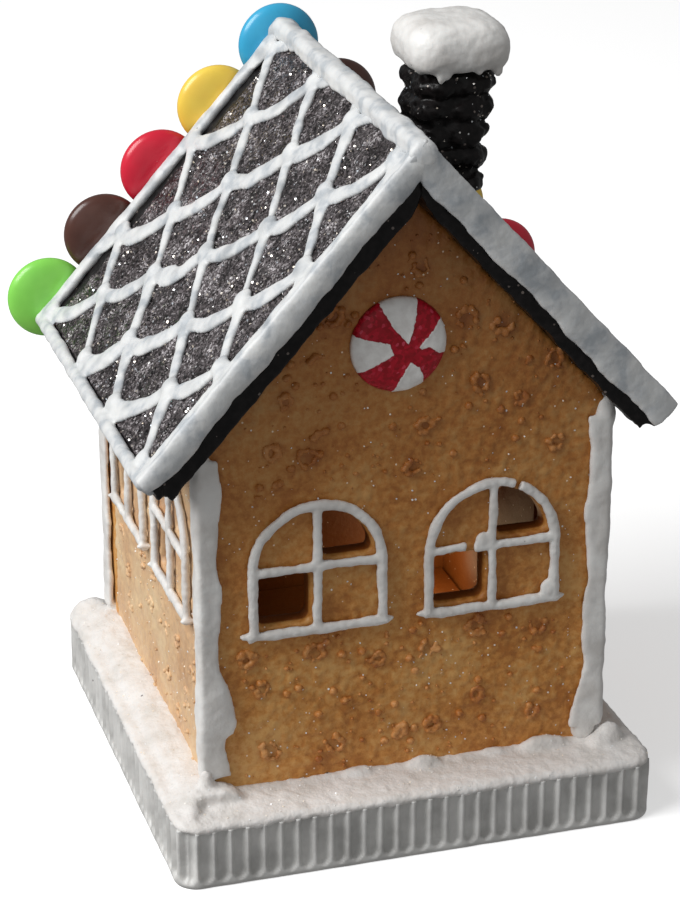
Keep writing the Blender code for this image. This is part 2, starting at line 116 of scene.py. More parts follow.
def glitter_specks(
    tree: bpy.types.NodeTree, cells: bpy.types.Node, rare: float, reach: float
) -> bpy.types.NodeSocket:
    """Picks a few cells of a Voronoi texture and marks a round speck at the point of each.

    Args:
        tree: the tree that the nodes go into.
        cells: the Voronoi texture.
        rare: the share of the cells that stay plain.
        reach: the speck's radius, as a share of the cell's size.

    Returns:
        One inside a speck and zero elsewhere.
    """
    pick = add(tree, "ShaderNodeSeparateColor", {}, {0: cells.outputs["Color"]})
    chosen = add(tree, "ShaderNodeMath", {"operation": "GREATER_THAN", 1: rare}, {0: pick.outputs[0]})
    distance = cells.outputs["Distance"]
    near = add(tree, "ShaderNodeMath", {"operation": "LESS_THAN", 1: reach}, {0: distance})
    both = {0: chosen.outputs[0], 1: near.outputs[0]}
    return add(tree, "ShaderNodeMath", {"operation": "MULTIPLY"}, both).outputs[0]


@dataclass(frozen=True)
class Finish:
    """A surface finish that is built once as a node material and then shared by its pieces."""

    name: str

    def material(self) -> bpy.types.Material:
        """Builds the material, or returns it if a piece has asked for it before.

        Returns:
            The finish as a Blender material.
        """
        found = bpy.data.materials.get(self.name)
        if found:
            return found
        made = bpy.data.materials.new(self.name)
        made.use_nodes = True
        tree = made.node_tree
        tree.nodes.clear()
        coords = add(tree, "ShaderNodeTexCoord").outputs["Object"]
        shader = self.shade(tree, coords)
        add(tree, "ShaderNodeOutputMaterial", links={"Surface": shader})
        return made

    def shade(self, tree: bpy.types.NodeTree, coords: bpy.types.NodeSocket) -> bpy.types.NodeSocket:
        """Adds this finish's own nodes and returns the shader socket."""
        raise NotImplementedError


@dataclass(frozen=True)
class PaintedIcing(Finish):
    """Thick white acrylic brushed over cast polyurethane resin: satin, slightly uneven in tint."""

    high: str = "#f0efec"
    middle: str = "#e6e4e1"
    low: str = "#dcd9d5"
    # The grey of thin paint over the black, also used as painted shade on the fascias.
    thin_and_shade: str = "#7f868c"
    roughness: float = 0.46
    stipple: float = 0.0
    drift_mm: float = 5.0

    def shade(self, tree: bpy.types.NodeTree, coords: bpy.types.NodeSocket) -> bpy.types.NodeSocket:
        """Brushed paint 3 to 5 mm across in tint, thin paint and painted shade where the "paint" attribute
        says, pinholes.
        """
        drift = add(
            tree, "ShaderNodeTexNoise", {"Scale": grain(self.drift_mm), "Detail": 4.0}, {"Vector": coords}
        )
        tint = add(
            tree, "ShaderNodeValToRGB",
            {"stops": [(0.36, self.low), (0.47, self.middle), (0.62, self.high)]},
            {"Fac": drift.outputs["Fac"]},
        )
        pores = add(
            tree, "ShaderNodeTexVoronoi", {"Scale": grain(5.5), "Randomness": 1.0}, {"Vector": coords}
        )
        pore = add(
            tree, "ShaderNodeMapRange",
            {"From Min": 0.02, "From Max": 0.045, "To Min": 1.0, "To Max": 0.0},
            {"Value": pores.outputs["Distance"]},
        )
        # The "paint" attribute mixes in the grey: thin paint on the net and painted shade on the fascias.
        uneven_tone = add(tree, "ShaderNodeAttribute", {"attribute_name": "paint"})
        brushed = add(
            tree, "ShaderNodeMix", {"data_type": "RGBA", 7: linear(self.thin_and_shade)},
            {0: uneven_tone.outputs["Fac"], 6: tint.outputs["Color"]},
        )
        colour = add(
            tree, "ShaderNodeMix", {"data_type": "RGBA", 7: linear("#6d6764")},
            {0: pore.outputs[0], 6: brushed.outputs[2]},
        )
        brush = add(tree, "ShaderNodeTexNoise", {"Scale": grain(0.55), "Detail": 3.0}, {"Vector": coords})
        height = add(
            tree, "ShaderNodeMath", {"operation": "MULTIPLY_ADD", 1: -0.8},
            {0: pore.outputs[0], 2: brush.outputs["Fac"]},
        )
        bump = add(
            tree, "ShaderNodeBump", {"Strength": 0.35 + self.stipple, "Distance": 0.15 * MM},
            {"Height": height.outputs[0]},
        )
        paint = add(
            tree,
            "ShaderNodeBsdfPrincipled",
            {
                "Roughness": self.roughness,
                "IOR": 1.48,
                "Subsurface Weight": 0.12,
                "Subsurface Radius": (0.9 * MM, 0.8 * MM, 0.75 * MM),
                "Subsurface Scale": 1.0,
            },
            {"Base Color": colour.outputs[2], "Normal": bump.outputs[0]},
        )
        return paint.outputs[0]


@dataclass(frozen=True)
class GingerbreadPaint(Finish):
    """Tan-brown acrylic over resin, sealed with clear lacquer that carries fine silver glitter."""

    deep: str = "#b4712f"
    main: str = "#cf8e46"
    pale: str = "#dfab66"
    # The colour of painted shade, and of the bare resin inside the house.
    painted_shade_and_bare_inside: str = "#8a4c1c"
    # How much of a pale wash of painted light the finish carries.
    painted_light: float = 0.0

    def shade(self, tree: bpy.types.NodeTree, coords: bpy.types.NodeSocket) -> bpy.types.NodeSocket:
        """Baked blotches 9 mm across, a 1.1 mm crumb mottle, 0.3 mm glitter specks, painted shade up high and
        in ring centres, and a pale wash of painted light on the lit wall's copy.
        """
        blotch = add(
            tree, "ShaderNodeTexNoise", {"Scale": grain(9.0), "Detail": 2.0, "Roughness": 0.4},
            {"Vector": coords},
        )
        crumb = add(
            tree, "ShaderNodeTexNoise", {"Scale": grain(1.1), "Detail": 4.0, "Roughness": 0.66},
            {"Vector": coords},
        )
        mixed = add(
            tree, "ShaderNodeMath", {"operation": "MULTIPLY_ADD", 1: 1.3},
            {0: crumb.outputs["Fac"], 2: blotch.outputs["Fac"]},
        )
        evened = add(tree, "ShaderNodeMath", {"operation": "MULTIPLY", 1: 0.43}, {0: mixed.outputs[0]})
        bread = add(
            tree, "ShaderNodeValToRGB",
            {"stops": [(0.38, self.deep), (0.49, self.main), (0.62, self.pale)]},
            {"Fac": evened.outputs[0]},
        )
        # Painted shade: the colour runs towards the shade colour with height, from none at 28 mm to 0.7 at
        # 104 mm, standing in for the shade under the eaves.
        place = add(tree, "ShaderNodeSeparateXYZ", {}, {0: coords})
        height = add(
            tree, "ShaderNodeMapRange",
            {"From Min": 28 * MM, "From Max": 104 * MM, "To Min": 0.0, "To Max": 0.7},
            {"Value": place.outputs["Z"]},
        )
        # The "paint" attribute brings painted shade in the middle of each ring and the bare brown of the
        # inside.
        pit_shade_and_inside = add(tree, "ShaderNodeAttribute", {"attribute_name": "paint"})
        shade_and_bare_share = add(
            tree, "ShaderNodeMath", {"operation": "ADD", "use_clamp": True},
            {0: height.outputs[0], 1: pit_shade_and_inside.outputs["Fac"]},
        )
        tint = add(
            tree, "ShaderNodeMix", {"data_type": "RGBA", 7: linear(self.painted_shade_and_bare_inside)},
            {0: shade_and_bare_share.outputs[0], 6: bread.outputs["Color"]},
        )
        # Painted light: a patchy pale wash, used only on the lit left wall, standing in for the strong light
        # that falls on it.
        light_patch_noise = add(tree, "ShaderNodeTexNoise", {"Scale": grain(9.0), "Detail": 4.0}, {"Vector": coords})
        light_share = add(
            tree, "ShaderNodeMapRange",
            {"From Min": 0.3, "From Max": 0.7, "To Min": self.painted_light * 0.7, "To Max": self.painted_light * 1.3},
            {"Value": light_patch_noise.outputs["Fac"]},
        )
        lit_colour = add(
            tree, "ShaderNodeMix", {"data_type": "RGBA", 7: linear("#f3e6c8")},
            {0: light_share.outputs[0], 6: tint.outputs[2]},
        )
        specks = add(
            tree, "ShaderNodeTexVoronoi", {"Scale": grain(0.75), "Randomness": 1.0}, {"Vector": coords}
        )
        speck = glitter_specks(tree, specks, rare=0.955, reach=0.2)
        flecked = add(
            tree, "ShaderNodeMix", {"data_type": "RGBA", 7: linear("#f3dcc0")},
            {0: speck, 6: lit_colour.outputs[2]},
        )
        bump = add(
            tree, "ShaderNodeBump", {"Strength": 0.5, "Distance": 0.2 * MM}, {"Height": mixed.outputs[0]}
        )
        paint = add(
            tree, "ShaderNodeBsdfPrincipled", {"Roughness": 0.46, "IOR": 1.48},
            {"Base Color": flecked.outputs[2], "Normal": bump.outputs[0]},
        )
        return paint.outputs[0]


@dataclass(frozen=True)
class GlitterCrust(Finish):
    """Black-brown resin rolled in coarse silver and smoke glitter, then lacquered."""

    darkest: str = "#131011"
    dark: str = "#383233"
    mid: str = "#6d6668"
    light: str = "#cdc8ca"
    size_mm: float = 0.3
    tilt: float = 0.8

    def shade(self, tree: bpy.types.NodeTree, coords: bpy.types.NodeSocket) -> bpy.types.NodeSocket:
        """Each grain is one cell with its own grey and its own slope, so that grains flash singly."""
        cells = add(
            tree, "ShaderNodeTexVoronoi", {"Scale": grain(self.size_mm), "Randomness": 1.0},
            {"Vector": coords},
        )
        pick = add(tree, "ShaderNodeSeparateColor", {}, {0: cells.outputs["Color"]})
        patch = add(tree, "ShaderNodeTexNoise", {"Scale": grain(3.2), "Detail": 2.0}, {"Vector": coords})
        level = add(
            tree, "ShaderNodeMath", {"operation": "MULTIPLY_ADD", 1: 1.5},
            {0: patch.outputs["Fac"], 2: pick.outputs[0]},
        )
        evened = add(tree, "ShaderNodeMath", {"operation": "MULTIPLY", 1: 0.48}, {0: level.outputs[0]})
        tint = add(
            tree, "ShaderNodeValToRGB",
            {"stops": [(0.36, self.darkest), (0.56, self.dark), (0.77, self.mid), (0.95, self.light)]},
            {"Fac": evened.outputs[0]},
        )
        centred = add(
            tree, "ShaderNodeVectorMath", {"operation": "SUBTRACT", 1: (0.5, 0.5, 0.5)},
            {0: cells.outputs["Color"]},
        )
        lean = add(
            tree, "ShaderNodeVectorMath", {"operation": "SCALE", "Scale": self.tilt},
            {0: centred.outputs[0]},
        )
        surface = add(tree, "ShaderNodeNewGeometry")
        leaning = add(
            tree, "ShaderNodeVectorMath", {"operation": "ADD"},
            {0: surface.outputs["Normal"], 1: lean.outputs[0]},
        )
        facing = add(tree, "ShaderNodeVectorMath", {"operation": "NORMALIZE"}, {0: leaning.outputs[0]})
        shiny = add(
            tree, "ShaderNodeMapRange", {"From Min": 0.6, "From Max": 0.95, "To Min": 0.0, "To Max": 0.6},
            {"Value": pick.outputs[1]},
        )
        crust = add(
            tree,
            "ShaderNodeBsdfPrincipled",
            {"Roughness": 0.32, "IOR": 1.5},
            {
                "Base Color": tint.outputs["Color"],
                "Metallic": shiny.outputs[0],
                "Normal": facing.outputs[0],
            },
        )
        return crust.outputs[0]


@dataclass(frozen=True)
class BlackResin(Finish):
    """Glossy black-pigmented cast resin with a thin scatter of fine glitter in its lacquer."""

    body: str = "#0c0a0a"
    uneven_tone: str = "#1d1a1a"
    roughness: float = 0.34

    def shade(self, tree: bpy.types.NodeTree, coords: bpy.types.NodeSocket) -> bpy.types.NodeSocket:
        """Casting ripple 1.1 mm across, with grey specks of 0.45 mm."""
        ripple = add(tree, "ShaderNodeTexNoise", {"Scale": grain(1.1), "Detail": 4.0}, {"Vector": coords})
        tint = add(
            tree, "ShaderNodeValToRGB", {"stops": [(0.4, self.body), (0.72, self.uneven_tone)]},
            {"Fac": ripple.outputs["Fac"]},
        )
        specks = add(tree, "ShaderNodeTexVoronoi", {"Scale": grain(0.7)}, {"Vector": coords})
        speck = glitter_specks(tree, specks, rare=0.93, reach=0.32)
        colour = add(
            tree, "ShaderNodeMix", {"data_type": "RGBA", 7: linear("#6f6661")},
            {0: speck, 6: tint.outputs["Color"]},
        )
        bump = add(
            tree, "ShaderNodeBump", {"Strength": 0.55, "Distance": 0.25 * MM},
            {"Height": ripple.outputs["Fac"]},
        )
        resin = add(
            tree, "ShaderNodeBsdfPrincipled",
            {"Roughness": self.roughness, "IOR": 1.5, "Specular IOR Level": 0.22},
            {"Base Color": colour.outputs[2], "Normal": bump.outputs[0]},
        )
        return resin.outputs[0]


@dataclass(frozen=True)
class SugarShell(Finish):
    """Moulded sweet with a polished coloured shell: even colour, hard gloss, faint panning dimples."""

    colour: str = "#ffffff"
    shade_colour: str = "#ffffff"

    def shade(self, tree: bpy.types.NodeTree, coords: bpy.types.NodeSocket) -> bpy.types.NodeSocket:
        """A slow tint change 5 mm across under a clear gloss coat."""
        drift = add(tree, "ShaderNodeTexNoise", {"Scale": grain(5.0), "Detail": 2.0}, {"Vector": coords})
        tint = add(
            tree, "ShaderNodeValToRGB", {"stops": [(0.3, self.shade_colour), (0.7, self.colour)]},
            {"Fac": drift.outputs["Fac"]},
        )
        dimple = add(tree, "ShaderNodeTexNoise", {"Scale": grain(1.6), "Detail": 1.0}, {"Vector": coords})
        bump = add(
            tree, "ShaderNodeBump", {"Strength": 0.12, "Distance": 0.1 * MM},
            {"Height": dimple.outputs["Fac"]},
        )
        shell = add(
            tree, "ShaderNodeBsdfPrincipled",
            {"Roughness": 0.3, "IOR": 1.5, "Coat Weight": 0.25, "Coat Roughness": 0.12},
            {"Base Color": tint.outputs["Color"], "Normal": bump.outputs[0]},
        )
        return shell.outputs[0]


@dataclass(frozen=True)
class PaintedMint(Finish):
    """Red and white hand-painted resin boss: glittery red wedges, satin white panels."""

    def shade(self, tree: bpy.types.NodeTree, coords: bpy.types.NodeSocket) -> bpy.types.NodeSocket:
        """The piece's own "paint" attribute says how far inside a white panel a point is, in mm."""
        panel = add(tree, "ShaderNodeAttribute", {"attribute_name": "paint"})
        wobble = add(tree, "ShaderNodeTexNoise", {"Scale": grain(0.8), "Detail": 2.0}, {"Vector": coords})
        edge = add(
            tree, "ShaderNodeMath", {"operation": "MULTIPLY_ADD", 1: 0.5},
            {0: wobble.outputs["Fac"], 2: panel.outputs["Fac"]},
        )
        white = add(
            tree, "ShaderNodeMapRange", {"From Min": 0.22, "From Max": 0.3}, {"Value": edge.outputs[0]}
        )
        cells = add(tree, "ShaderNodeTexVoronoi", {"Scale": grain(0.5)}, {"Vector": coords})
        pick = add(tree, "ShaderNodeSeparateColor", {}, {0: cells.outputs["Color"]})
        red = add(
            tree, "ShaderNodeValToRGB",
            {"stops": [(0.25, "#a00a1c"), (0.9, "#c8132f"), (0.99, "#d84a62")]}, {"Fac": pick.outputs[0]},
        )
        stain = add(tree, "ShaderNodeTexNoise", {"Scale": grain(1.5), "Detail": 3.0}, {"Vector": coords})
        pale = add(
            tree, "ShaderNodeValToRGB", {"stops": [(0.35, "#ece9e6"), (0.6, "#fbfaf7")]},
            {"Fac": stain.outputs["Fac"]},
        )
        colour = add(
            tree, "ShaderNodeMix", {"data_type": "RGBA"},
            {0: white.outputs[0], 6: red.outputs["Color"], 7: pale.outputs["Color"]},
        )
        bump = add(
            tree, "ShaderNodeBump", {"Strength": 0.4, "Distance": 0.15 * MM},
            {"Height": stain.outputs["Fac"]},
        )
        paint = add(
            tree, "ShaderNodeBsdfPrincipled", {"Roughness": 0.4, "IOR": 1.48, "Specular IOR Level": 0.35},
            {"Base Color": colour.outputs[2], "Normal": bump.outputs[0]},
        )
        return paint.outputs[0]


@dataclass(frozen=True)
class GlitterFlake(Finish):
    """Punched polyester glitter with a silver or pearl face: plates of slightly varied tint."""

    cool: str = "#dfe6ee"
    warm: str = "#fff2e0"
    metallic: float = 0.75

    def shade(self, tree: bpy.types.NodeTree, coords: bpy.types.NodeSocket) -> bpy.types.NodeSocket:
        """Close to one tint a flake, because the pattern is over twice as wide as a flake."""
        drift = add(tree, "ShaderNodeTexNoise", {"Scale": grain(1.0), "Detail": 0.0}, {"Vector": coords})
        tint = add(
            tree, "ShaderNodeValToRGB", {"stops": [(0.35, self.cool), (0.65, self.warm)]},
            {"Fac": drift.outputs["Fac"]},
        )
        plate = add(
            tree, "ShaderNodeBsdfPrincipled", {"Roughness": 0.28, "Metallic": self.metallic},
            {"Base Color": tint.outputs["Color"]},
        )
        return plate.outputs[0]


@dataclass(frozen=True)
class StudioCard(Finish):
    """Matt white card under the ornament."""

    def shade(self, tree: bpy.types.NodeTree, coords: bpy.types.NodeSocket) -> bpy.types.NodeSocket:
        """Plain pale card with a faint paper tone."""
        tone = add(tree, "ShaderNodeTexNoise", {"Scale": 4.0}, {"Vector": coords})
        tint = add(
            tree, "ShaderNodeValToRGB", {"stops": [(0.0, "#f7f7f7"), (1.0, "#fbfbfb")]},
            {"Fac": tone.outputs["Fac"]},
        )
        card = add(
            tree, "ShaderNodeBsdfPrincipled",
            {"Roughness": 0.9, "Emission Color": linear("#ffffff"), "Emission Strength": 0.45},
            {"Base Color": tint.outputs["Color"]},
        )
        return card.outputs[0]


ICING = PaintedIcing("painted_icing_resin")
ROOF_ICING = PaintedIcing(
    "painted_roof_icing_resin", high="#e2e3e2", middle="#d6d8d9", low="#bcc1c5", drift_mm=3.0
)
SNOW = PaintedIcing(
    "painted_snow_resin", high="#e9e6e3", middle="#e4e0dc", low="#dad6d1", roughness=0.6, stipple=0.55
)
PLINTH_PAINT = PaintedIcing(
    "painted_plinth_resin", high="#dddcd9", middle="#d0cfcc", low="#c0bfbc", roughness=0.5
)
GINGERBREAD = GingerbreadPaint("gingerbread_paint_lacquered")
CRUMB = GingerbreadPaint(
    "gingerbread_crumb_lacquered", deep="#a5602a", main="#c37f3e", pale="#dca062", painted_shade_and_bare_inside="#965622"
)
# The lit left wall's copy: a paler shade colour and a pale wash of painted light.
LIT_GINGERBREAD = GingerbreadPaint("gingerbread_paint_lit_side", painted_shade_and_bare_inside="#a8642c", painted_light=0.4)
ROOF_CRUST = GlitterCrust("glitter_crust_smoke")
BLACK = BlackResin("black_resin_lacquered")
CHIMNEY_BLACK = BlackResin("black_resin_chimney", uneven_tone="#1f1b1b", roughness=0.3)
MINT = PaintedMint("painted_mint_resin")
FLAKES = GlitterFlake("silver_glitter_flakes")
PEARL_FLAKES = GlitterFlake("pearl_glitter_flakes", cool="#f2f4f6", warm="#fff4e4", metallic=0.0)
CARD = StudioCard("studio_card")


class SweetColour(Enum):
    """The shell colours of the sweets along the roof's rear edges."""

    BLUE = SugarShell("sugar_shell_blue", "#3fb4e0", "#35a6d4")
    YELLOW = SugarShell("sugar_shell_yellow", "#ffdc5a", "#fbd050")
    RED = SugarShell("sugar_shell_red", "#e3253f", "#d41d38")
    BROWN = SugarShell("sugar_shell_brown", "#5d3a30", "#4e2e26")
    GREEN = SugarShell("sugar_shell_green", "#98ec64", "#8ae05a")


# --------------------------------------------------------------------------- shaping tools


@dataclass(frozen=True)
class Lumps:
    """An unevenness of a hand-made master: how far apart its bumps are and how high they stand."""

    apart: float
    height: float
    seed: float = 0.0

    def at(self, point: Vector) -> float:
        """The height of the unevenness at a point, in millimetres."""
        offset = Vector((self.seed * 7.1, self.seed * 3.7, self.seed * 5.3))
        return self.height * noise.noise(point / self.apart + offset)


@dataclass
class Station:
    """One cross-section of a piped line: where it is, which way is out, and its half sizes."""

    at: Vector
    out: Vector
    wide: float
    high: float


class Casting:
    """One piece while it is being shaped, in millimetres, until it is placed in the frame."""

    def __init__(self, name: str) -> None:
        """Starts an empty casting with the name that its object will have."""
        self.name = name
        self.bm = bmesh.new()

    def take(self, part: bmesh.types.BMesh) -> None:
        """Moves another bmesh's faces into this casting and frees it."""
        mesh = bpy.data.meshes.new("part")
        part.to_mesh(mesh)
        part.free()
        self.bm.from_mesh(mesh)
        bpy.data.meshes.remove(mesh)

    def copy_node(self, node: str) -> "Casting":
        """Starts from a CAD node's solid, with its loose triangles merged.

        Args:
            node: the CAD node's name.

        Returns:
            This casting.
        """
        part = bmesh.new()
        part.from_mesh(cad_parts[node].data)
        bmesh.ops.scale(part, vec=(1 / MM, 1 / MM, 1 / MM), verts=part.verts)
        bmesh.ops.remove_doubles(part, verts=part.verts, dist=0.001)
        self.take(part)
        return self

    def pipe(self, stations: Sequence[Station], segments: int = 10) -> "Casting":
        """Pipes one line of icing: a ring is extruded from station to station and capped.

        Args:
            stations: the cross-sections in order.
            segments: the number of sides of the line.

        Returns:
            This casting.
        """
        part = bmesh.new()
        ring = bmesh.ops.create_circle(part, segments=segments, radius=1.0)["verts"]
        rims = list(part.edges)
        first = list(rims)
        last = Matrix.Identity(4)
        for index, station in enumerate(stations):
            before = stations[max(index - 1, 0)].at
            after = stations[min(index + 1, len(stations) - 1)].at
            along = (after - before).normalized()
            side = along.cross(station.out).normalized()
            up = side.cross(along)
            turn = Matrix((side * station.wide, up * station.high, along)).transposed().to_4x4()
            turn.translation = station.at
            if index:
                grown = bmesh.ops.extrude_edge_only(part, edges=rims)["geom"]
                ring = [g for g in grown if isinstance(g, bmesh.types.BMVert)]
                fresh = set(ring)
                rims = [g for g in grown if isinstance(g, bmesh.types.BMEdge) and fresh.issuperset(g.verts)]
            bmesh.ops.transform(part, matrix=turn @ last.inverted(), verts=ring)
            last = turn
        bmesh.ops.contextual_create(part, geom=first)
        bmesh.ops.contextual_create(part, geom=rims)
        bmesh.ops.recalc_face_normals(part, faces=part.faces)
        self.take(part)
        return self

    def blob(self, at: Vector, radii: Sequence[float], turn: Matrix | None = None) -> "Casting":
        """Adds one rounded blob.

        Args:
            at: its centre.
            radii: its half sizes along its own axes.
            turn: how its axes are turned, if they are.

        Returns:
            This casting.
        """
        part = bmesh.new()
        place = Matrix.Translation(at) @ (turn or Matrix.Identity(3)).to_4x4()
        matrix = place @ Matrix.Diagonal((*radii, 1.0))
        bmesh.ops.create_icosphere(part, subdivisions=2, radius=1.0, matrix=matrix)
        self.take(part)
        return self

    def melt(self, voxel: float, passes: int = 2) -> "Casting":
        """Runs everything in the casting together into one skin, as poured resin does.

        Args:
            voxel: the size of the finest detail that is kept.
            passes: how many times the skin is smoothed.

        Returns:
            This casting.
        """
        mesh = bpy.data.meshes.new("melt")
        self.bm.to_mesh(mesh)
        holder = bpy.data.objects.new("melt", mesh)
        bpy.context.scene.collection.objects.link(holder)
        remesh = holder.modifiers.new("one skin", "REMESH")
        remesh.mode = "VOXEL"
        remesh.voxel_size = voxel
        graph = bpy.context.evaluated_depsgraph_get()
        skin = bpy.data.meshes.new_from_object(holder.evaluated_get(graph))
        self.bm.clear()
        self.bm.from_mesh(skin)
        bpy.data.objects.remove(holder)
        bpy.data.meshes.remove(mesh)
        bpy.data.meshes.remove(skin)
        for _ in range(passes):
            bmesh.ops.smooth_vert(
                self.bm, verts=self.bm.verts, factor=0.5, use_axis_x=True, use_axis_y=True, use_axis_z=True
            )
        return self

    def push(self, height: Callable[[Vector, Vector], float]) -> "Casting":
        """Moves every point along its own normal.

        Args:
            height: gives the move in millimetres for a place and its normal.

        Returns:
            This casting.
        """
        self.bm.normal_update()
        moves = [v.normal * height(v.co, v.normal) for v in self.bm.verts]
        for vert, move in zip(self.bm.verts, moves):
            vert.co += move
        return self

    def roughen(self, *lumps: Lumps) -> "Casting":
        """Gives the skin the unevenness of a hand-made master."""
        return self.push(lambda place, _: sum(lump.at(place) for lump in lumps))

    def place(
        self,
        finish: Finish,
        slot: str,
        replaces: Iterable[str] = (),
        smooth: bool = True,
        attribute: Callable[[Vector], float] | None = None,
    ) -> bpy.types.Object:
        """Scales the piece to metres, dresses it and makes it ride with the frame.

        Args:
            finish: the finish that it wears.
            slot: the name of a material slot for it; not used.
            replaces: the CAD nodes that it stands for.
            smooth: whether its faces are shaded smooth.
            attribute: gives the "paint" value of a point, for a painted pattern.

        Returns:
            The finished object.
        """
        mesh = bpy.data.meshes.new(self.name)
        for face in self.bm.faces:
            face.smooth = smooth
        values = [attribute(v.co) for v in self.bm.verts] if attribute else []
        bmesh.ops.scale(self.bm, vec=(MM, MM, MM), verts=self.bm.verts)
        self.bm.to_mesh(mesh)
        self.bm.free()
        if attribute:
            layer = mesh.attributes.new("paint", "FLOAT", "POINT")
            layer.data.foreach_set("value", values)
        piece = bpy.data.objects.new(self.name, mesh)
        bpy.context.scene.collection.objects.link(piece)
        mesh.materials.append(finish.material())
        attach(piece, "root")
        names = list(replaces)
        if names:
            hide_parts(*names)
        LOG.info("%s: %d faces in %s", self.name, len(mesh.polygons), finish.name)
        return piece


# --------------------------------------------------------------------------- sizes shared by the parts


@dataclass(frozen=True)
class RoofPlan:
    """Where the two slopes are, in millimetres."""

    ridge_z: float = 112.3
    pitch: float = math.radians(47.9)
    rear_y: float = 34.7
    front_y: float = -36.0
    eave_left: float = 62.0
    eave_right: float = 58.8
    board_top: float = -1.5

    @property
    def length(self) -> float:
        """The roof's length from rear to front."""
        return self.rear_y - self.front_y

    def eave(self, side: int) -> float:
        """How far down a slope its eave is; side is -1 for left and 1 for right."""
        return self.eave_left if side < 0 else self.eave_right

    def point(self, side: int, u: float, v: float, w: float) -> Vector:
        """A point on a slope.

        Args:
            side: -1 for the left slope and 1 for the right one.
            u: how far it is from the rear edge.
            v: how far it is down from the ridge.
            w: how far it stands off the icing's top face.

        Returns:
            The place in the frame.
        """
        across = v * math.cos(self.pitch) + w * math.sin(self.pitch)
        z = self.ridge_z - v * math.sin(self.pitch) + w * math.cos(self.pitch)
        return Vector((side * across, self.rear_y - u, z))

    def out(self, side: int) -> Vector:
        """The direction that a slope faces."""
        return Vector((side * math.sin(self.pitch), 0.0, math.cos(self.pitch)))


ROOF = RoofPlan()


@dataclass(frozen=True)
class WallPlane:
    """One wall's outer face, with a place on it given as across and up."""

    name: str
    origin: Vector
    across: Vector
    outward: Vector

    def point(self, a: float, z: float, off: float = 0.0) -> Vector:
        """The place that is a across, z up and off the wall."""
        return self.origin + self.across * a + Vector((0, 0, z)) + self.outward * off


FRONT = WallPlane("front", Vector((0, -30, 0)), Vector((1, 0, 0)), Vector((0, -1, 0)))
BACK = WallPlane("back", Vector((0, 34, 0)), Vector((-1, 0, 0)), Vector((0, 1, 0)))
LEFT = WallPlane("left", Vector((-31, 0, 0)), Vector((0, -1, 0)), Vector((-1, 0, 0)))
RIGHT = WallPlane("right", Vector((31, 0, 0)), Vector((0, 1, 0)), Vector((1, 0, 0)))
WALLS = (FRONT, BACK, LEFT, RIGHT)


# --------------------------------------------------------------------------- plinth and snow


@dataclass
class Plinth:
    """The square foot with upright flutes round its sides."""

    half_x: float = 38.0
    half_y: float = 39.6
    corner: float = 3.5
    top: float = 9.5
    pitch: float = 2.6
    flute_half: float = 1.0
    depth: float = 0.95
    flute_low: float = 2.0
    flute_high: float = 9.0
    steps_up: int = 34

    def flute(self, place: Vector) -> float:
        """How deep the flutes cut at a place on the plinth's side.

        Args:
            place: the point on the side.

        Returns:
            The depth in millimetres.
        """
        turn_x, turn_y = self.half_x - self.corner, self.half_y - self.corner
        over_x, over_y = abs(place.x) - turn_x, abs(place.y) - turn_y
        if over_x > 0 and over_y > 0:
            angle = math.atan2(over_x, over_y)
            if angle < math.pi / 4:
                along = turn_x + self.corner * angle
            else:
                along = turn_y + self.corner * (math.pi / 2 - angle)
        else:
            along = abs(place.x) if over_y >= over_x else abs(place.y)
        across = along - round(along / self.pitch) * self.pitch
        beyond = max(self.flute_low - place.z, place.z - self.flute_high, 0.0)
        distance = math.hypot(across, beyond) / self.flute_half
        return self.depth * math.sqrt(max(0.0, 1.0 - distance**2.4))

    def build(self) -> None:
        """Cuts the flutes into a rounded block and paints it."""
        casting = Casting("plinth_fluted")
        bm = casting.bm
        corners = bmesh.ops.create_grid(bm, x_segments=1, y_segments=1, size=1.0)["verts"]
        bmesh.ops.scale(bm, vec=(self.half_x, self.half_y, 1.0), verts=corners)
        bmesh.ops.bevel(
            bm, geom=list(bm.verts), offset=self.corner, segments=20, profile=0.5, affect="VERTICES",
            material=-1,
        )
        long_sides = [e for e in bm.edges if e.calc_length() > 5 * self.corner]
        bmesh.ops.subdivide_edges(bm, edges=long_sides, cuts=265)
        rims = list(bm.edges)
        for _ in range(self.steps_up):
            grown = bmesh.ops.extrude_edge_only(bm, edges=rims)["geom"]
            ring = [g for g in grown if isinstance(g, bmesh.types.BMVert)]
            fresh = set(ring)
            rims = [g for g in grown if isinstance(g, bmesh.types.BMEdge) and fresh.issuperset(g.verts)]
            bmesh.ops.translate(bm, vec=(0, 0, self.top / self.steps_up), verts=ring)
        bmesh.ops.contextual_create(bm, geom=rims)
        bmesh.ops.recalc_face_normals(bm, faces=bm.faces)
        dent = Lumps(3.0, 0.1, 3.0)
        for vert in bm.verts:
            depth = self.flute(vert.co)
            low = max(0.0, 0.7 - vert.co.z)
            inward = depth + 0.6 * low * low + dent.at(vert.co) - 0.05
            over_x = max(0.0, abs(vert.co.x) - self.half_x + self.corner)
            over_y = max(0.0, abs(vert.co.y) - self.half_y + self.corner)
            slope = Vector((math.copysign(over_x, vert.co.x), math.copysign(over_y, vert.co.y), 0.0))
            vert.co -= slope.normalized() * inward
        casting.place(PLINTH_PAINT, "plinth", ["plinth"])


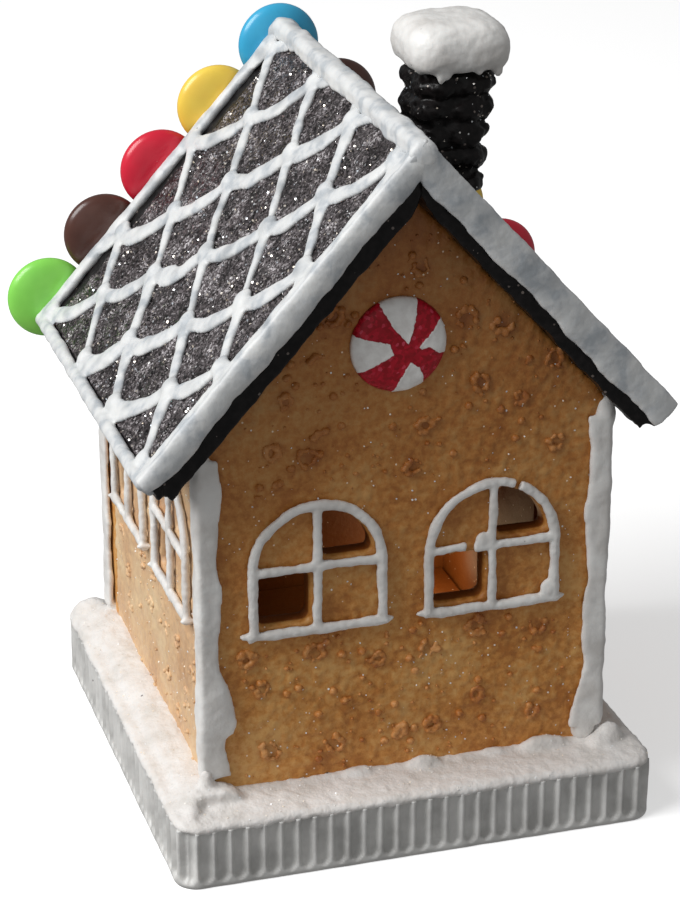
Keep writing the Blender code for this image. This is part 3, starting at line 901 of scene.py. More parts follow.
@dataclass
class SnowBase:
    """White icing over the plinth: a flat stippled top, a ragged skirt, drifts and mounds."""

    plinth: Plinth
    voxel: float = 0.38
    lip_z: float = 9.75
    slab_low: float = 8.8
    slab_rise: float = 1.9
    bank_z: float = 10.3
    mound_z: float = 10.4

    def outline(self, inset: float) -> list[Vector]:
        """Points round the plinth's outline.

        Args:
            inset: how far inside the plinth's face they are.

        Returns:
            The points in order, closed.
        """
        radius = self.plinth.corner - inset
        points = []
        for turn, (sx, sy) in enumerate(((1, 1), (-1, 1), (-1, -1), (1, -1))):
            centre = Vector(
                (
                    sx * (self.plinth.half_x - self.plinth.corner),
                    sy * (self.plinth.half_y - self.plinth.corner),
                    0,
                )
            )
            for step in range(5):
                angle = math.radians(90 * turn + 22.5 * step)
                points.append(centre + radius * Vector((math.cos(angle), math.sin(angle), 0)))
        dense: list[Vector] = []
        for start, end in zip(points, points[1:] + points[:1]):
            count = max(1, round((end - start).length / 1.1))
            dense += [start.lerp(end, i / count) for i in range(count)]
        return dense + [dense[0]]

    def skirt(self, casting: Casting) -> None:
        """Pipes the ragged edge that hangs over the tops of the flutes."""
        stations = []
        for place in self.outline(1.0):
            hang = 0.8 * noise.noise(place / 1.5 + Vector((4, 0, 0))) + 0.5 * noise.noise(place / 6.0)
            spot = Vector((place.x, place.y, self.lip_z - hang * 0.35))
            stations.append(Station(spot, Vector((0, 0, 1)), 1.12 + 0.12 * hang, 0.85 + hang * 0.35))
        casting.pipe(stations, segments=10)

    def slab(self, casting: Casting) -> None:
        """Lays the flat sheet of icing under the drifts."""
        part = bmesh.new()
        rim = [part.verts.new((p.x, p.y, self.slab_low)) for p in self.outline(0.9)[:-1]]
        sheet = part.faces.new(rim)
        grown = bmesh.ops.extrude_face_region(part, geom=[sheet])["geom"]
        raised = [g for g in grown if isinstance(g, bmesh.types.BMVert)]
        bmesh.ops.translate(part, vec=(0, 0, self.slab_rise), verts=raised)
        bmesh.ops.recalc_face_normals(part, faces=part.faces)
        casting.take(part)

    def banks(self, casting: Casting) -> None:
        """Pipes the drift of icing along the foot of each wall, highest on the left."""
        drifts = ((LEFT, 5.0, 2.3), (FRONT, 1.2, 0.8), (BACK, 2.4, 1.4), (RIGHT, 2.2, 1.5))
        for plane, reach, rise in drifts:
            half = 34.0 if plane in (LEFT, RIGHT) else 31.5
            stations = []
            for step in range(49):
                a = -half + 2 * half * step / 48
                spot = plane.point(a, self.bank_z, 0.4)
                swell = 1 + 0.16 * noise.noise(spot / 9.0) + 0.08 * noise.noise(spot / 3.0)
                stations.append(Station(spot, Vector((0, 0, 1)), reach * swell, rise * swell))
            casting.pipe(stations, segments=14)

    def build(self) -> bpy.types.Object:
        """Runs slab, skirt, drifts and mounds together.

        Returns:
            The snow as one object.
        """
        casting = Casting("snow_base")
        self.slab(casting)
        self.skirt(casting)
        self.banks(casting)
        mounds = [
            ((-33.4, -32.0), (2.0, 2.6, 2.6)), ((-31.6, -31.2), (1.7, 1.5, 5.2)),
            ((-29.6, -31.2), (2.2, 1.3, 2.6)), ((-34.6, -34.6), (1.5, 2.4, 1.6)),
            ((-35.3, -36.6), (1.1, 1.6, 1.0)), ((-31.0, -32.2), (1.6, 1.2, 2.2)),
            ((33.2, -31.6), (2.4, 2.0, 3.4)), ((31.6, -32.4), (2.6, 1.5, 2.2)),
            ((3.0, -31.0), (3.0, 1.4, 2.0)), ((-7.5, -30.8), (3.4, 1.2, 1.3)),
            ((22.5, -31.0), (4.4, 1.4, 2.2)), ((14.5, -30.8), (3.0, 1.2, 1.3)),
            ((33.5, 35.5), (3.2, 2.6, 3.0)), ((-34.2, 35.8), (3.6, 3.2, 2.8)),
            ((-35.6, 30.0), (2.2, 5.0, 1.4)),
        ]
        for (x, y), radii in mounds:
            casting.blob(Vector((x, y, self.mound_z)), radii)
        casting.melt(self.voxel, passes=3)
        casting.roughen(Lumps(9.0, 0.25, 1.0), Lumps(1.6, 0.12, 2.0), Lumps(0.9, 0.14, 5.0))
        return casting.place(SNOW, "icing", ["base_icing"])


# --------------------------------------------------------------------------- walls and windows


@dataclass(frozen=True)
class Relief:
    """One raised ring of crumbs on a wall."""

    across: float
    up: float
    radius: float


@dataclass
class Wall:
    """One gingerbread wall: a cast slab with rings, crumbs and hollows in its outer face, with painted shade
    in the middle of each ring.
    """

    plane: WallPlane
    finish: Finish
    crumb_finish: Finish
    half_width: float = 26.0
    top: float = 62.0
    gable: bool = False
    seed: int = 1
    voxel: float = 0.5
    # How dark the painted shade in the middle of each ring is.
    pit_shade: float = 0.4
    board_depth: float = 7.1
    side_top: float = 67.0
    room_half: float = 30.3
    room_middle: float = 2.0
    room_length: float = 55.4
    tucked_band: float = 1.5
    tuck_up: float = 1.2
    tuck_out: float = 0.6

    def random_rings(self) -> list[Relief]:
        """Scatters the wall's rings.

        Returns:
            The rings, kept clear of the windows.
        """
        rng = random.Random(self.seed)
        rings: list[Relief] = []
        while len(rings) < (26 if self.gable else 14):
            a, z = rng.uniform(-self.half_width, self.half_width), rng.uniform(14, 96)
            limit = self.top if not self.gable else 105 - 1.25 * abs(a)
            window = 33 < z < 60
            if z > limit or window or (self.gable and math.hypot(a + 1.4, z - 79.9) < 10):
                continue
            if any(math.hypot(a - r.across, z - r.up) < 5 for r in rings):
                continue
            rings.append(Relief(a, z, rng.uniform(1.3, 2.1)))
        return rings

    def tuck(self, casting: Casting) -> None:
        """Stretches the top edge up into the roof board, and a side wall's ends up to the gables.

        Args:
            casting: the wall.
        """
        for vert in casting.bm.verts:
            top = ROOF.point(1, 0.0, 0.0, 0.0).z - self.board_depth / math.cos(ROOF.pitch)
            top -= abs(vert.co.x) * math.tan(ROOF.pitch)
            if not self.gable:
                top = self.side_top
            share = 1.0 - (top - vert.co.z) / self.tucked_band
            vert.co.z += self.tuck_up * min(1.0, max(0.0, share))
            beyond = abs(vert.co.y - self.room_middle) - self.room_length / 2 + 1.0
            if not self.gable and beyond > 0:
                vert.co.y += math.copysign(self.tuck_out * min(1.0, beyond), vert.co.y - self.room_middle)

    def build(self) -> bpy.types.Object:
        """Casts the wall and presses its rings and crumbs.

        Returns:
            The wall as one object.
        """
        rings = self.random_rings()
        across, outward, origin = self.plane.across, self.plane.outward, self.plane.origin
        coarse, fine = Lumps(7.0, 0.2, self.seed), Lumps(1.0, 0.2, self.seed + 2)

        def height(place: Vector, normal: Vector) -> float:
            face = normal.dot(outward)
            if face < 0.7 or (place - origin).dot(outward) < -1.0:
                return 0.3 * coarse.at(place)
            crumb = fine.at(place)
            return coarse.at(place) + (1.8 * crumb if crumb > 0.03 else crumb)

        # Painted shade in the middle of each ring, and the bare brown of the inside faces.
        def painted_shade_and_bare_inside(place: Vector) -> float:
            if (place - origin).dot(outward) < -0.9 and abs(place.x) < self.room_half:
                return 0.9
            a, z = (place - origin).dot(across), place.z
            away = [math.hypot(a - r.across, z - r.up) / (0.9 * r.radius) for r in rings]
            return self.pit_shade * math.exp(-(min(away) ** 2))

        casting = Casting(f"{self.plane.name}_gingerbread").copy_node(f"{self.plane.name}_wall")
        casting.melt(self.voxel, passes=1).push(height)
        self.tuck(casting)
        wall = casting.place(self.finish, "gingerbread", [f"{self.plane.name}_wall"], attribute=painted_shade_and_bare_inside)
        self.press(rings)
        return wall

    def press(self, rings: Sequence[Relief]) -> None:
        """Adds the raised rings and the crumbs as one thin layer of relief."""
        rng = random.Random(self.seed + 40)
        relief = Casting(f"{self.plane.name}_crumb_relief")
        for ring in rings:
            count = rng.randint(8, 11)
            start = rng.uniform(0, math.tau)
            for step in range(count):
                angle = start + math.tau * (step + rng.uniform(-0.25, 0.25)) / count
                reach = ring.radius * rng.uniform(0.5, 0.9)
                size = rng.uniform(0.25, 0.7) * (1.0 if self.gable else 0.75)
                spot = self.plane.point(
                    ring.across + reach * math.cos(angle), ring.up + reach * math.sin(angle), 0.0
                )
                relief.blob(spot, (size, size * rng.uniform(0.8, 1.2), size * rng.uniform(0.8, 1.3)))
        for _ in range(560 if self.gable else 260):
            a, z = rng.uniform(-self.half_width, self.half_width), rng.uniform(12, 100)
            limit = self.top if not self.gable else 106 - 1.22 * abs(a)
            if z > limit or 35 < z < 58 or (self.gable and math.hypot(a + 1.4, z - 79.9) < 8.2):
                continue
            size = rng.choice((0.18, 0.22, 0.3, 0.3, 0.42, 0.7)) * (1.0 if self.gable else 0.7)
            relief.blob(self.plane.point(a, z, 0.06), (size, size * rng.uniform(0.7, 1.3), size * 0.9))
        relief.melt(0.2, passes=1).roughen(Lumps(0.7, 0.12, 6.0))
        relief.place(self.crumb_finish, "gingerbread")


@dataclass
class IcedWindow:
    """One round-topped window drawn in piped icing, with two bars and a sill."""

    plane: WallPlane
    number: int
    centre: float
    broken: bool = False
    radius: float = 10.0
    spring: float = 46.4
    drop: float = 10.1
    half_line: float = 0.82
    reach: float = 11.5

    def line(self, casting: Casting, path: Sequence[tuple[float, float]], size: float, seed: float) -> None:
        """Pipes one stroke that wavers and swells as it goes.

        Args:
            casting: the casting that it goes into.
            path: the corners or samples of the stroke, across and up.
            size: its half width.
            seed: what makes this stroke's wavering its own.
        """
        dense: list[tuple[float, float]] = []
        for (a0, z0), (a1, z1) in zip(path, path[1:]):
            count = max(2, round(math.hypot(a1 - a0, z1 - z0) / 0.8))
            dense += [(a0 + (a1 - a0) * i / count, z0 + (z1 - z0) * i / count) for i in range(count)]
        dense.append(path[-1])
        stations = []
        for a, z in dense:
            probe = Vector((a, z, seed * 3.3))
            sway = 0.25 * noise.noise(probe / 4.0)
            swell = size * (1.0 + 0.22 * noise.noise(probe / 2.4 + Vector((9, 0, 0))))
            place = self.plane.point(a + sway, z + 0.25 * noise.noise(probe / 3.6), 0.8)
            stations.append(Station(place, self.plane.outward, swell, swell * 0.8))
        casting.pipe(stations, segments=8)

    def arc(self, *angles: float) -> list[tuple[float, float]]:
        """Places on the round head, at these angles in degrees from its right end."""
        turns = [math.radians(angle) for angle in angles]
        across = [self.centre + self.radius * math.cos(turn) for turn in turns]
        up = [self.spring + self.radius * math.sin(turn) for turn in turns]
        return list(zip(across, up))

    def build(self) -> bpy.types.Object:
        """Pipes the frame, the bars and the sill.

        Returns:
            The window's icing as one object.
        """
        c, r, s = self.centre, self.radius, self.spring
        foot = s - self.drop
        seed = self.number + 5.0 * len(self.plane.name)
        casting = Casting(f"{self.plane.name}_window_piping_{self.number}")
        arch = self.arc(*range(0, 181, 6))
        if self.broken:
            chip = self.arc(66.0, 70.5)
            self.line(casting, [(c + r, foot), (c + r, s)] + arch[1:11] + chip[:1], self.half_line, seed)
            self.line(casting, chip[1:] + arch[12:] + [(c - r, foot)], self.half_line, seed + 0.3)
            self.line(casting, [(c - r, s), (c - r * 0.42, s)], self.half_line * 0.95, seed + 1)
            self.line(casting, [(c - r * 0.3, s - 0.3), (c + r, s)], self.half_line * 0.9, seed + 1.4)
            casting.blob(self.plane.point(c - 1.4, s + 0.7, 0.6), (1.4, 0.7, 1.5))
            casting.blob(self.plane.point(c + r - 0.8, foot + 1.4, 0.7), (1.4, 0.8, 1.7))
        else:
            outline = [(c + r, foot), (c + r, s)] + arch[1:-1] + [(c - r, s), (c - r, foot)]
            self.line(casting, outline, self.half_line, seed)
            self.line(casting, [(c - r, s), (c + r, s)], self.half_line * 0.92, seed + 1)
        self.line(casting, [(c, foot), (c, s + r)], self.half_line * 0.9, seed + 2)
        sill = [(c - self.reach + 0.7, foot - 0.2), (c + self.reach - 0.7, foot)]
        self.line(casting, sill, self.half_line * 1.05, seed + 3)
        for end in (-1, 1):
            casting.blob(self.plane.point(c + end * (self.reach - 0.9), foot, 0.6), (1.5, 0.65, 0.5))
        casting.melt(0.24, passes=2).roughen(Lumps(0.9, 0.1, seed), Lumps(3.0, 0.1, seed + 1))
        node = f"{self.plane.name}_window_icing_{self.number}"
        return casting.place(ICING, "icing", [node])


@dataclass
class CornerIcing:
    """One upright rope of icing that covers the joint between two walls."""

    name: str
    bulge: Vector | None = None
    head_x: float = 31.5

    def build(self) -> bpy.types.Object:
        """Melts and waves the rope.

        Returns:
            The rope as one object.
        """
        casting = Casting(f"{self.name}_rope").copy_node(self.name)
        box_low, box_high = (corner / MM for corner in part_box(self.name))
        middle = (box_low + box_high) / 2
        if self.bulge:
            upper = ((7.2, -1.6, 0.5), (4.0, -0.9, 1.2), (0.0, -0.3, 1.9))
            flare = upper + ((-4.0, 0.0, 2.3), (-5.4, -0.2, 2.0))
            stations = [
                Station(self.bulge + Vector((shift, 0, rise)), Vector((0, -1, 0)), wide, 0.75)
                for rise, shift, wide in flare
            ]
            casting.pipe(stations, segments=12)
        else:
            casting.blob(Vector((middle.x, middle.y, 12.5)), (2.2, 2.2, 2.4))
        x, y = math.copysign(self.head_x, middle.x), middle.y + math.copysign(0.3, middle.y)
        casting.blob(Vector((x, y, box_high.z - 0.2)), (1.7, 1.6, 3.0))
        casting.melt(0.36, passes=3)
        casting.roughen(Lumps(11.0, 0.4, middle.x), Lumps(3.2, 0.22, middle.y), Lumps(1.1, 0.08, 8.0))
        return casting.place(ICING, "icing", [self.name])


# --------------------------------------------------------------------------- roof


@dataclass
class RoofSlope:
    """One slope: a black board, a glittery crust and a net of piped icing with its borders."""

    side: int
    name: str = field(init=False)
    nodes: list[list[tuple[float, float]]] = field(init=False)
    first_crossing: tuple[float, float] = (3.2, 4.6)
    pitch: float = 21.3
    row_step: float = 10.4
    tightening: float = 0.2
    wander: float = 1.5
    swag_half: float = 1.6
    strand_half: float = 1.05
    voxel: float = 0.28

    def __post_init__(self) -> None:
        """Names the slope after its side and lays out its net."""
        self.name = "left" if self.side < 0 else "right"
        self.nodes = self.crossings()

    def crossings(self) -> list[list[tuple[float, float]]]:
        """Lays out the net: every other row is shifted by half a pitch, and each crossing wanders a little.

        Returns:
            The rows of crossings as u and v, from one above the ridge to one below the eave.
        """
        rng = random.Random(7 + self.side)
        start_u, start_v = self.first_crossing
        rows = []
        for k in range(-1, 7):
            v = start_v + self.row_step * k - self.tightening * k * k
            first = start_u - self.pitch / 2 * (k % 2)
            row = []
            for i in range(4 + k % 2):
                u = first + self.pitch * i
                row.append((u + self.wander * rng.uniform(-1, 1), v + 0.4 * self.wander * rng.uniform(-1, 1)))
            rows.append(row)
        return rows

    def board(self) -> bpy.types.Object:
        """Casts the black board, with small drips along its lower edge.

        Returns:
            The board as one object.
        """
        node = f"roof_board_{self.name}"
        casting = Casting(f"roof_slab_{self.name}").copy_node(node)
        beam = [
            Station(Vector((self.side * 0.5, y, 105.4)), Vector((0, 0, 1)), 1.3, 2.9)
            for y in (ROOF.front_y + 0.1, -12.0, 12.0, ROOF.rear_y - 0.6)
        ]
        casting.pipe(beam, segments=12)
        eave, length = ROOF.eave(self.side), ROOF.length
        rng = random.Random(90 + self.side)
        for step in range(46):
            u = 0.6 + (length - 0.9) * step / 45
            size = rng.uniform(0.3, 0.8)
            drip = ROOF.point(self.side, u, eave - 0.1, -4.0)
            casting.blob(drip, (0.95, 1.4, size + 1.0))
        casting.melt(0.4, passes=4)
        casting.push(lambda _, normal: 0.35 * min(0.0, normal.dot(ROOF.out(self.side))))
        casting.roughen(Lumps(2.6, 0.26, 1.0), Lumps(1.1, 0.1, 2.0))
        return casting.place(BLACK, "black_resin", [node])

    def crust(self) -> bpy.types.Object:
        """Lays the gritty top between the icing strands.

        Returns:
            The crust as one object.
        """
        length, eave = ROOF.length, ROOF.eave(self.side)
        casting = Casting(f"roof_crust_{self.name}")
        bm = casting.bm
        bmesh.ops.create_grid(bm, x_segments=150, y_segments=130, size=0.5)
        grit = Lumps(0.7, 0.3, 3.0)
        sweep = Lumps(3.0, 0.3, 4.0)
        for vert in bm.verts:
            u = 4.4 + (vert.co.x + 0.5) * (length - 5.8)
            v = 1.6 + (vert.co.y + 0.5) * (eave - 2.2)
            flat = Vector((u, v, 0.0))
            rim = min(u - 4.4 - 0.9 * noise.noise(flat / 1.4), length - 1.4 - u, v - 1.6, eave - 0.6 - v)
            lift = 0.28 + grit.at(flat) + sweep.at(flat) if rim > 0.3 else -0.3
            vert.co = ROOF.point(self.side, u, v, ROOF.board_top + lift)
        bmesh.ops.recalc_face_normals(bm, faces=bm.faces)
        if sum(f.normal.z for f in bm.faces) < 0:
            bmesh.ops.reverse_faces(bm, faces=bm.faces)
        bmesh.ops.solidify(bm, geom=list(bm.faces), thickness=0.7)
        return casting.place(ROOF_CRUST, "black_resin")

    def strand(
        self, casting: Casting, start: tuple[float, float], end: tuple[float, float], swag: bool
    ) -> None:
        """Pipes one strand of the net from crossing to crossing, kept inside the borders.

        Args:
            casting: the casting that it goes into.
            start: the crossing that it starts from, as u and v.
            end: the crossing that it ends at.
            swag: whether it is one of the thick strands that sag.
        """
        rng = random.Random(round(start[0] * 31 + start[1] * 17 + end[0] * 7) + self.side)
        sag = rng.uniform(1.9, 2.9) if swag else rng.uniform(-0.7, 0.5)
        half = (self.swag_half if swag else self.strand_half) * rng.uniform(0.82, 1.2)
        stations = []
        for step in range(15):
            t = step / 14
            bow = 4 * t * (1 - t) * sag
            u = start[0] + (end[0] - start[0]) * t + (0.3 * bow if swag else 0.5 * bow)
            v = start[1] + (end[1] - start[1]) * t + (0.85 * bow if swag else 0.0)
            inside = 0.8 < u < ROOF.length - 0.8 and 1.5 < v < ROOF.eave(self.side) - 0.8
            if not inside:
                continue
            probe = Vector((u, v, self.side * 5.0))
            taper = 0.8 + 0.3 * math.sin(math.pi * t) if swag else 1.3 - 0.6 * t
            swell = half * taper * (1.0 + 0.3 * noise.noise(probe / 2.8))
            u += 0.5 * noise.noise(probe / 4.1)
            v += 0.4 * noise.noise(probe / 3.3 + Vector((0, 0, 7)))
            place = ROOF.point(self.side, u, v, -1.0)
            stations.append(Station(place, ROOF.out(self.side), swell, 0.55 + 0.06 * swell))
        if len(stations) > 2:
            casting.pipe(stations, segments=8)

    def border(
        self, casting: Casting, start: tuple[float, float], end: tuple[float, float], half: float, seed: float
    ) -> None:
        """Pipes one broad wavering border band between two points of the slope.

        Args:
            casting: the casting that it goes into.
            start: where it starts, as u and v.
            end: where it ends.
            half: its half width.
            seed: what makes its wavering its own.
        """
        length = math.hypot(end[0] - start[0], end[1] - start[1])
        count = round(length / 1.0)
        stations = []
        for step in range(count + 1):
            t = step / count
            u = start[0] + (end[0] - start[0]) * t
            v = start[1] + (end[1] - start[1]) * t
            probe = Vector((u, v, seed))
            swell = half * (1 + 0.22 * noise.noise(probe / 4.0) + 0.1 * noise.noise(probe / 1.6))
            place = ROOF.point(self.side, u, v, -0.95)
            stations.append(Station(place, ROOF.out(self.side), swell, 0.95))
        casting.pipe(stations, segments=12)

    def thin_paint_and_shade(self, place: Vector) -> float:
        """How grey the white is at a place: painted shade on the front fascias, most on the right one, and
        thin paint in streaks on the net.

        Args:
            place: the point.

        Returns:
            A share from 0 to 1.
        """
        across = -place.z * 0.742 + self.side * place.x * 0.67
        streak = noise.noise(Vector((place.y / 3.0, across / 3.0, self.side * 2.0)))
        # Painted shade on the fascia's front face, stronger on the right slope, with thin-paint streaks over
        # it.
        if place.y < ROOF.front_y - 1.0:
            fascia_shade = 0.42 if self.side > 0 else 0.12
            return min(1.0, -place.y + ROOF.front_y - 1.0) * fascia_shade + 0.3 * streak
        return max(0.0, 0.75 * streak - 0.05)

    def fascia(self, casting: Casting) -> None:
        """Brushes the white over the front edge of the board, with a wavering lower edge.

        Args:
            casting: the casting that it goes into.
        """
        lower = -3.5 if self.side < 0 else -4.5
        stations = []
        eave = ROOF.eave(self.side)
        for step in range(76):
            v = 0.2 + (eave + 0.6) * step / 75
            probe = Vector((v, self.side * 3.0, 0.0))
            edge = lower + 0.5 * noise.noise(probe / 5.0) + 0.25 * noise.noise(probe / 1.3)
            edge += 0.9 * max(0.0, v - eave + 4.0) / 4.0 if self.side < 0 else 0.0
            middle, half = (0.25 + edge) / 2, (0.25 - edge) / 2 + 0.15
            place = ROOF.point(self.side, ROOF.length + 0.75, v, middle)
            stations.append(Station(place, ROOF.out(self.side), 0.95, half))
        casting.pipe(stations, segments=14)

    def icing(self) -> bpy.types.Object:
        """Pipes the net and its borders and runs them into the fascia and the eave lip.

        Returns:
            The slope's icing as one object.
        """
        casting = Casting(f"roof_piping_{self.name}")
        casting.copy_node(f"eave_icing_{self.name}")
        self.fascia(casting)
        eave, length = ROOF.eave(self.side), ROOF.length
        for upper, lower in zip(self.nodes, self.nodes[1:]):
            for place in upper:
                for other in lower:
                    across = other[0] - place[0]
                    if 3.0 < abs(across) < 28.0:
                        self.strand(casting, place, other, swag=across < 0)
        turn = Matrix.Rotation(self.side * ROOF.pitch, 3, "Y")
        for row in self.nodes:
            for u, v in row:
                if not (1.0 < u < length - 1.0 and 1.5 < v < eave - 1.0):
                    continue
                rng = random.Random(round(u * 13 + v * 7))
                size = rng.uniform(1.25, 1.6)
                top = ROOF.point(self.side, u - rng.uniform(0.0, 0.5), v - 0.2, -0.75)
                casting.blob(top, (size * 1.3, size, size * 0.62), turn)
        self.border(casting, (length - 0.6, 0.3), (length - 0.6, eave + 0.8), 1.9, 1.0)
        self.border(casting, (0.7, 0.3), (0.7, eave + 0.8), 1.35, 2.0)
        self.border(casting, (0.2, eave + 0.3), (length + 0.6, eave + 0.3), 1.1, 3.0)
        casting.melt(self.voxel, passes=3)
        casting.roughen(Lumps(3.5, 0.16, 1.0), Lumps(0.9, 0.05, 3.0))
        nodes = [f"roof_icing_{self.name}", f"rake_icing_{self.name}", f"eave_icing_{self.name}"]
        return casting.place(ROOF_ICING, "icing", nodes, attribute=self.thin_paint_and_shade)

    def build(self) -> bpy.types.Object:
        """Builds the slope.

        Returns:
            Its crust, which the glitter is scattered on.
        """
        self.board()
        self.icing()
        return self.crust()


@dataclass
class RidgeIcing:
    """The thick smooth rope of icing along the ridge."""

    def build(self) -> bpy.types.Object:
        """Melts and waves the rope.

        Returns:
            The ridge icing as one object.
        """
        casting = Casting("ridge_rope")
        for side in (-1, 1):
            stations = []
            for step in range(72):
                u = -0.2 + (ROOF.length + 1.4) * step / 71
                probe = Vector((u, side * 4.0, 2.0))
                swell = 2.1 * (1 + 0.16 * noise.noise(probe / 4.0) + 0.12 * noise.noise(probe / 1.6))
                stations.append(Station(ROOF.point(side, u, 1.35, -0.8), ROOF.out(side), swell, 0.95))
            casting.pipe(stations, segments=12)
        core = [
            Station(Vector((0, y, ROOF.ridge_z - 1.3)), Vector((0, 0, 1)), 1.9, 1.35)
            for y in (ROOF.front_y - 1.1, -12.0, 12.0, ROOF.rear_y + 0.3)
        ]
        casting.pipe(core, segments=12)
        casting.blob(Vector((0, ROOF.front_y - 0.8, ROOF.ridge_z - 2.5)), (2.6, 1.12, 2.6))
        casting.blob(Vector((0, ROOF.rear_y - 0.6, ROOF.ridge_z - 2.4)), (3.0, 1.3, 2.6))
        casting.melt(0.36, passes=9)
        casting.roughen(Lumps(5.0, 0.3, 2.0), Lumps(1.6, 0.12, 4.0))
        return casting.place(ROOF_ICING, "icing", ["ridge_icing"])


# --------------------------------------------------------------------------- chimney


@dataclass
class Chimney:
    """The ribbed black chimney and its pillow of snow."""

    def stack(self) -> bpy.types.Object:
        """Casts the ribbed stack.

        Returns:
            The stack as one object.
        """
        casting = Casting("chimney_stack").copy_node("chimney")
        casting.melt(0.34, passes=3)
        casting.roughen(Lumps(3.4, 0.8, 1.0), Lumps(1.3, 0.35, 2.0), Lumps(0.7, 0.14, 3.0))
        return casting.place(CHIMNEY_BLACK, "black_resin", ["chimney"])

    def cap(self) -> bpy.types.Object:
        """Piles the snow on top, with a wavy edge and a few short drips.

        Returns:
            The cap as one object.
        """
        casting = Casting("chimney_snow").copy_node("chimney_cap_icing").melt(0.42, passes=24)
        low, high = (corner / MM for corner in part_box("chimney_cap_icing"))
        middle = (low + high) / 2
        half = (high.x - low.x) / 2
        casting.push(lambda place, normal: 0.2 * (1.0 - abs(normal.z)))
        front = ((-0.93, -0.7, 0.2), (-0.55, -0.96, 1.5), (-0.4, -0.97, 0.9), (0.35, -0.97, 0.5))
        right = ((0.8, -0.92, 1.0), (0.95, -0.4, 0.7), (0.9, 0.5, 0.5))
        for fx, fy, drop in front + right + ((-0.2, 0.92, 1.0), (-0.92, 0.3, 0.6)):
            place = Vector((middle.x + fx * half * 0.86, middle.y + fy * half * 0.86, low.z + 0.9 - drop / 2))
            casting.blob(place, (0.75, 0.75, 1.0 + drop / 2))
        casting.melt(0.34, passes=3)
        casting.roughen(Lumps(4.5, 0.25, 2.0), Lumps(1.5, 0.12, 5.0), Lumps(0.8, 0.06, 9.0))
        return casting.place(ICING, "icing", ["chimney_cap_icing"])

    def build(self) -> bpy.types.Object:
        """Builds the stack and its cap.

        Returns:
            The stack, which glitter is scattered on.
        """
        self.cap()
        return self.stack()


# --------------------------------------------------------------------------- sweets and mints


@dataclass
class Sweet:
    """One lentil-shaped sweet that stands on edge behind the roof."""

    node: str
    colour: SweetColour
    radius: float = 6.65
    half_thick: float = 2.2

    def build(self) -> bpy.types.Object:
        """Spins the lentil's outline round its axis.

        Returns:
            The sweet as one object.
        """
        low, high = (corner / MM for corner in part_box(self.node))
        centre = (low + high) / 2
        casting = Casting(self.node.replace("sweet_", "candy_"))
        bm = casting.bm
        steps = 26
        last = bm.verts.new((0.0, -self.half_thick, 0.0))
        outline: list[Any] = [last]
        for step in range(1, steps + 1):
            angle = -math.pi / 2 + math.pi * step / steps
            reach = abs(math.cos(angle)) ** 0.8 * self.radius if step < steps else 0.0
            rise = math.copysign(abs(math.sin(angle)) ** 0.9, math.sin(angle)) * self.half_thick
            vert = bm.verts.new((reach, rise, 0.0))
            outline += [bm.edges.new((last, vert)), vert]
            last = vert
        bmesh.ops.spin(
            bm, geom=outline, axis=(0, 1, 0), cent=(0, 0, 0), angle=math.tau, steps=56, use_merge=True
        )
        bmesh.ops.remove_doubles(bm, verts=bm.verts, dist=0.001)
        bmesh.ops.recalc_face_normals(bm, faces=bm.faces)
        bmesh.ops.translate(bm, vec=centre, verts=bm.verts)
        slot = "sweet_" + self.colour.name.lower()
        return casting.place(self.colour.value, slot, [self.node])


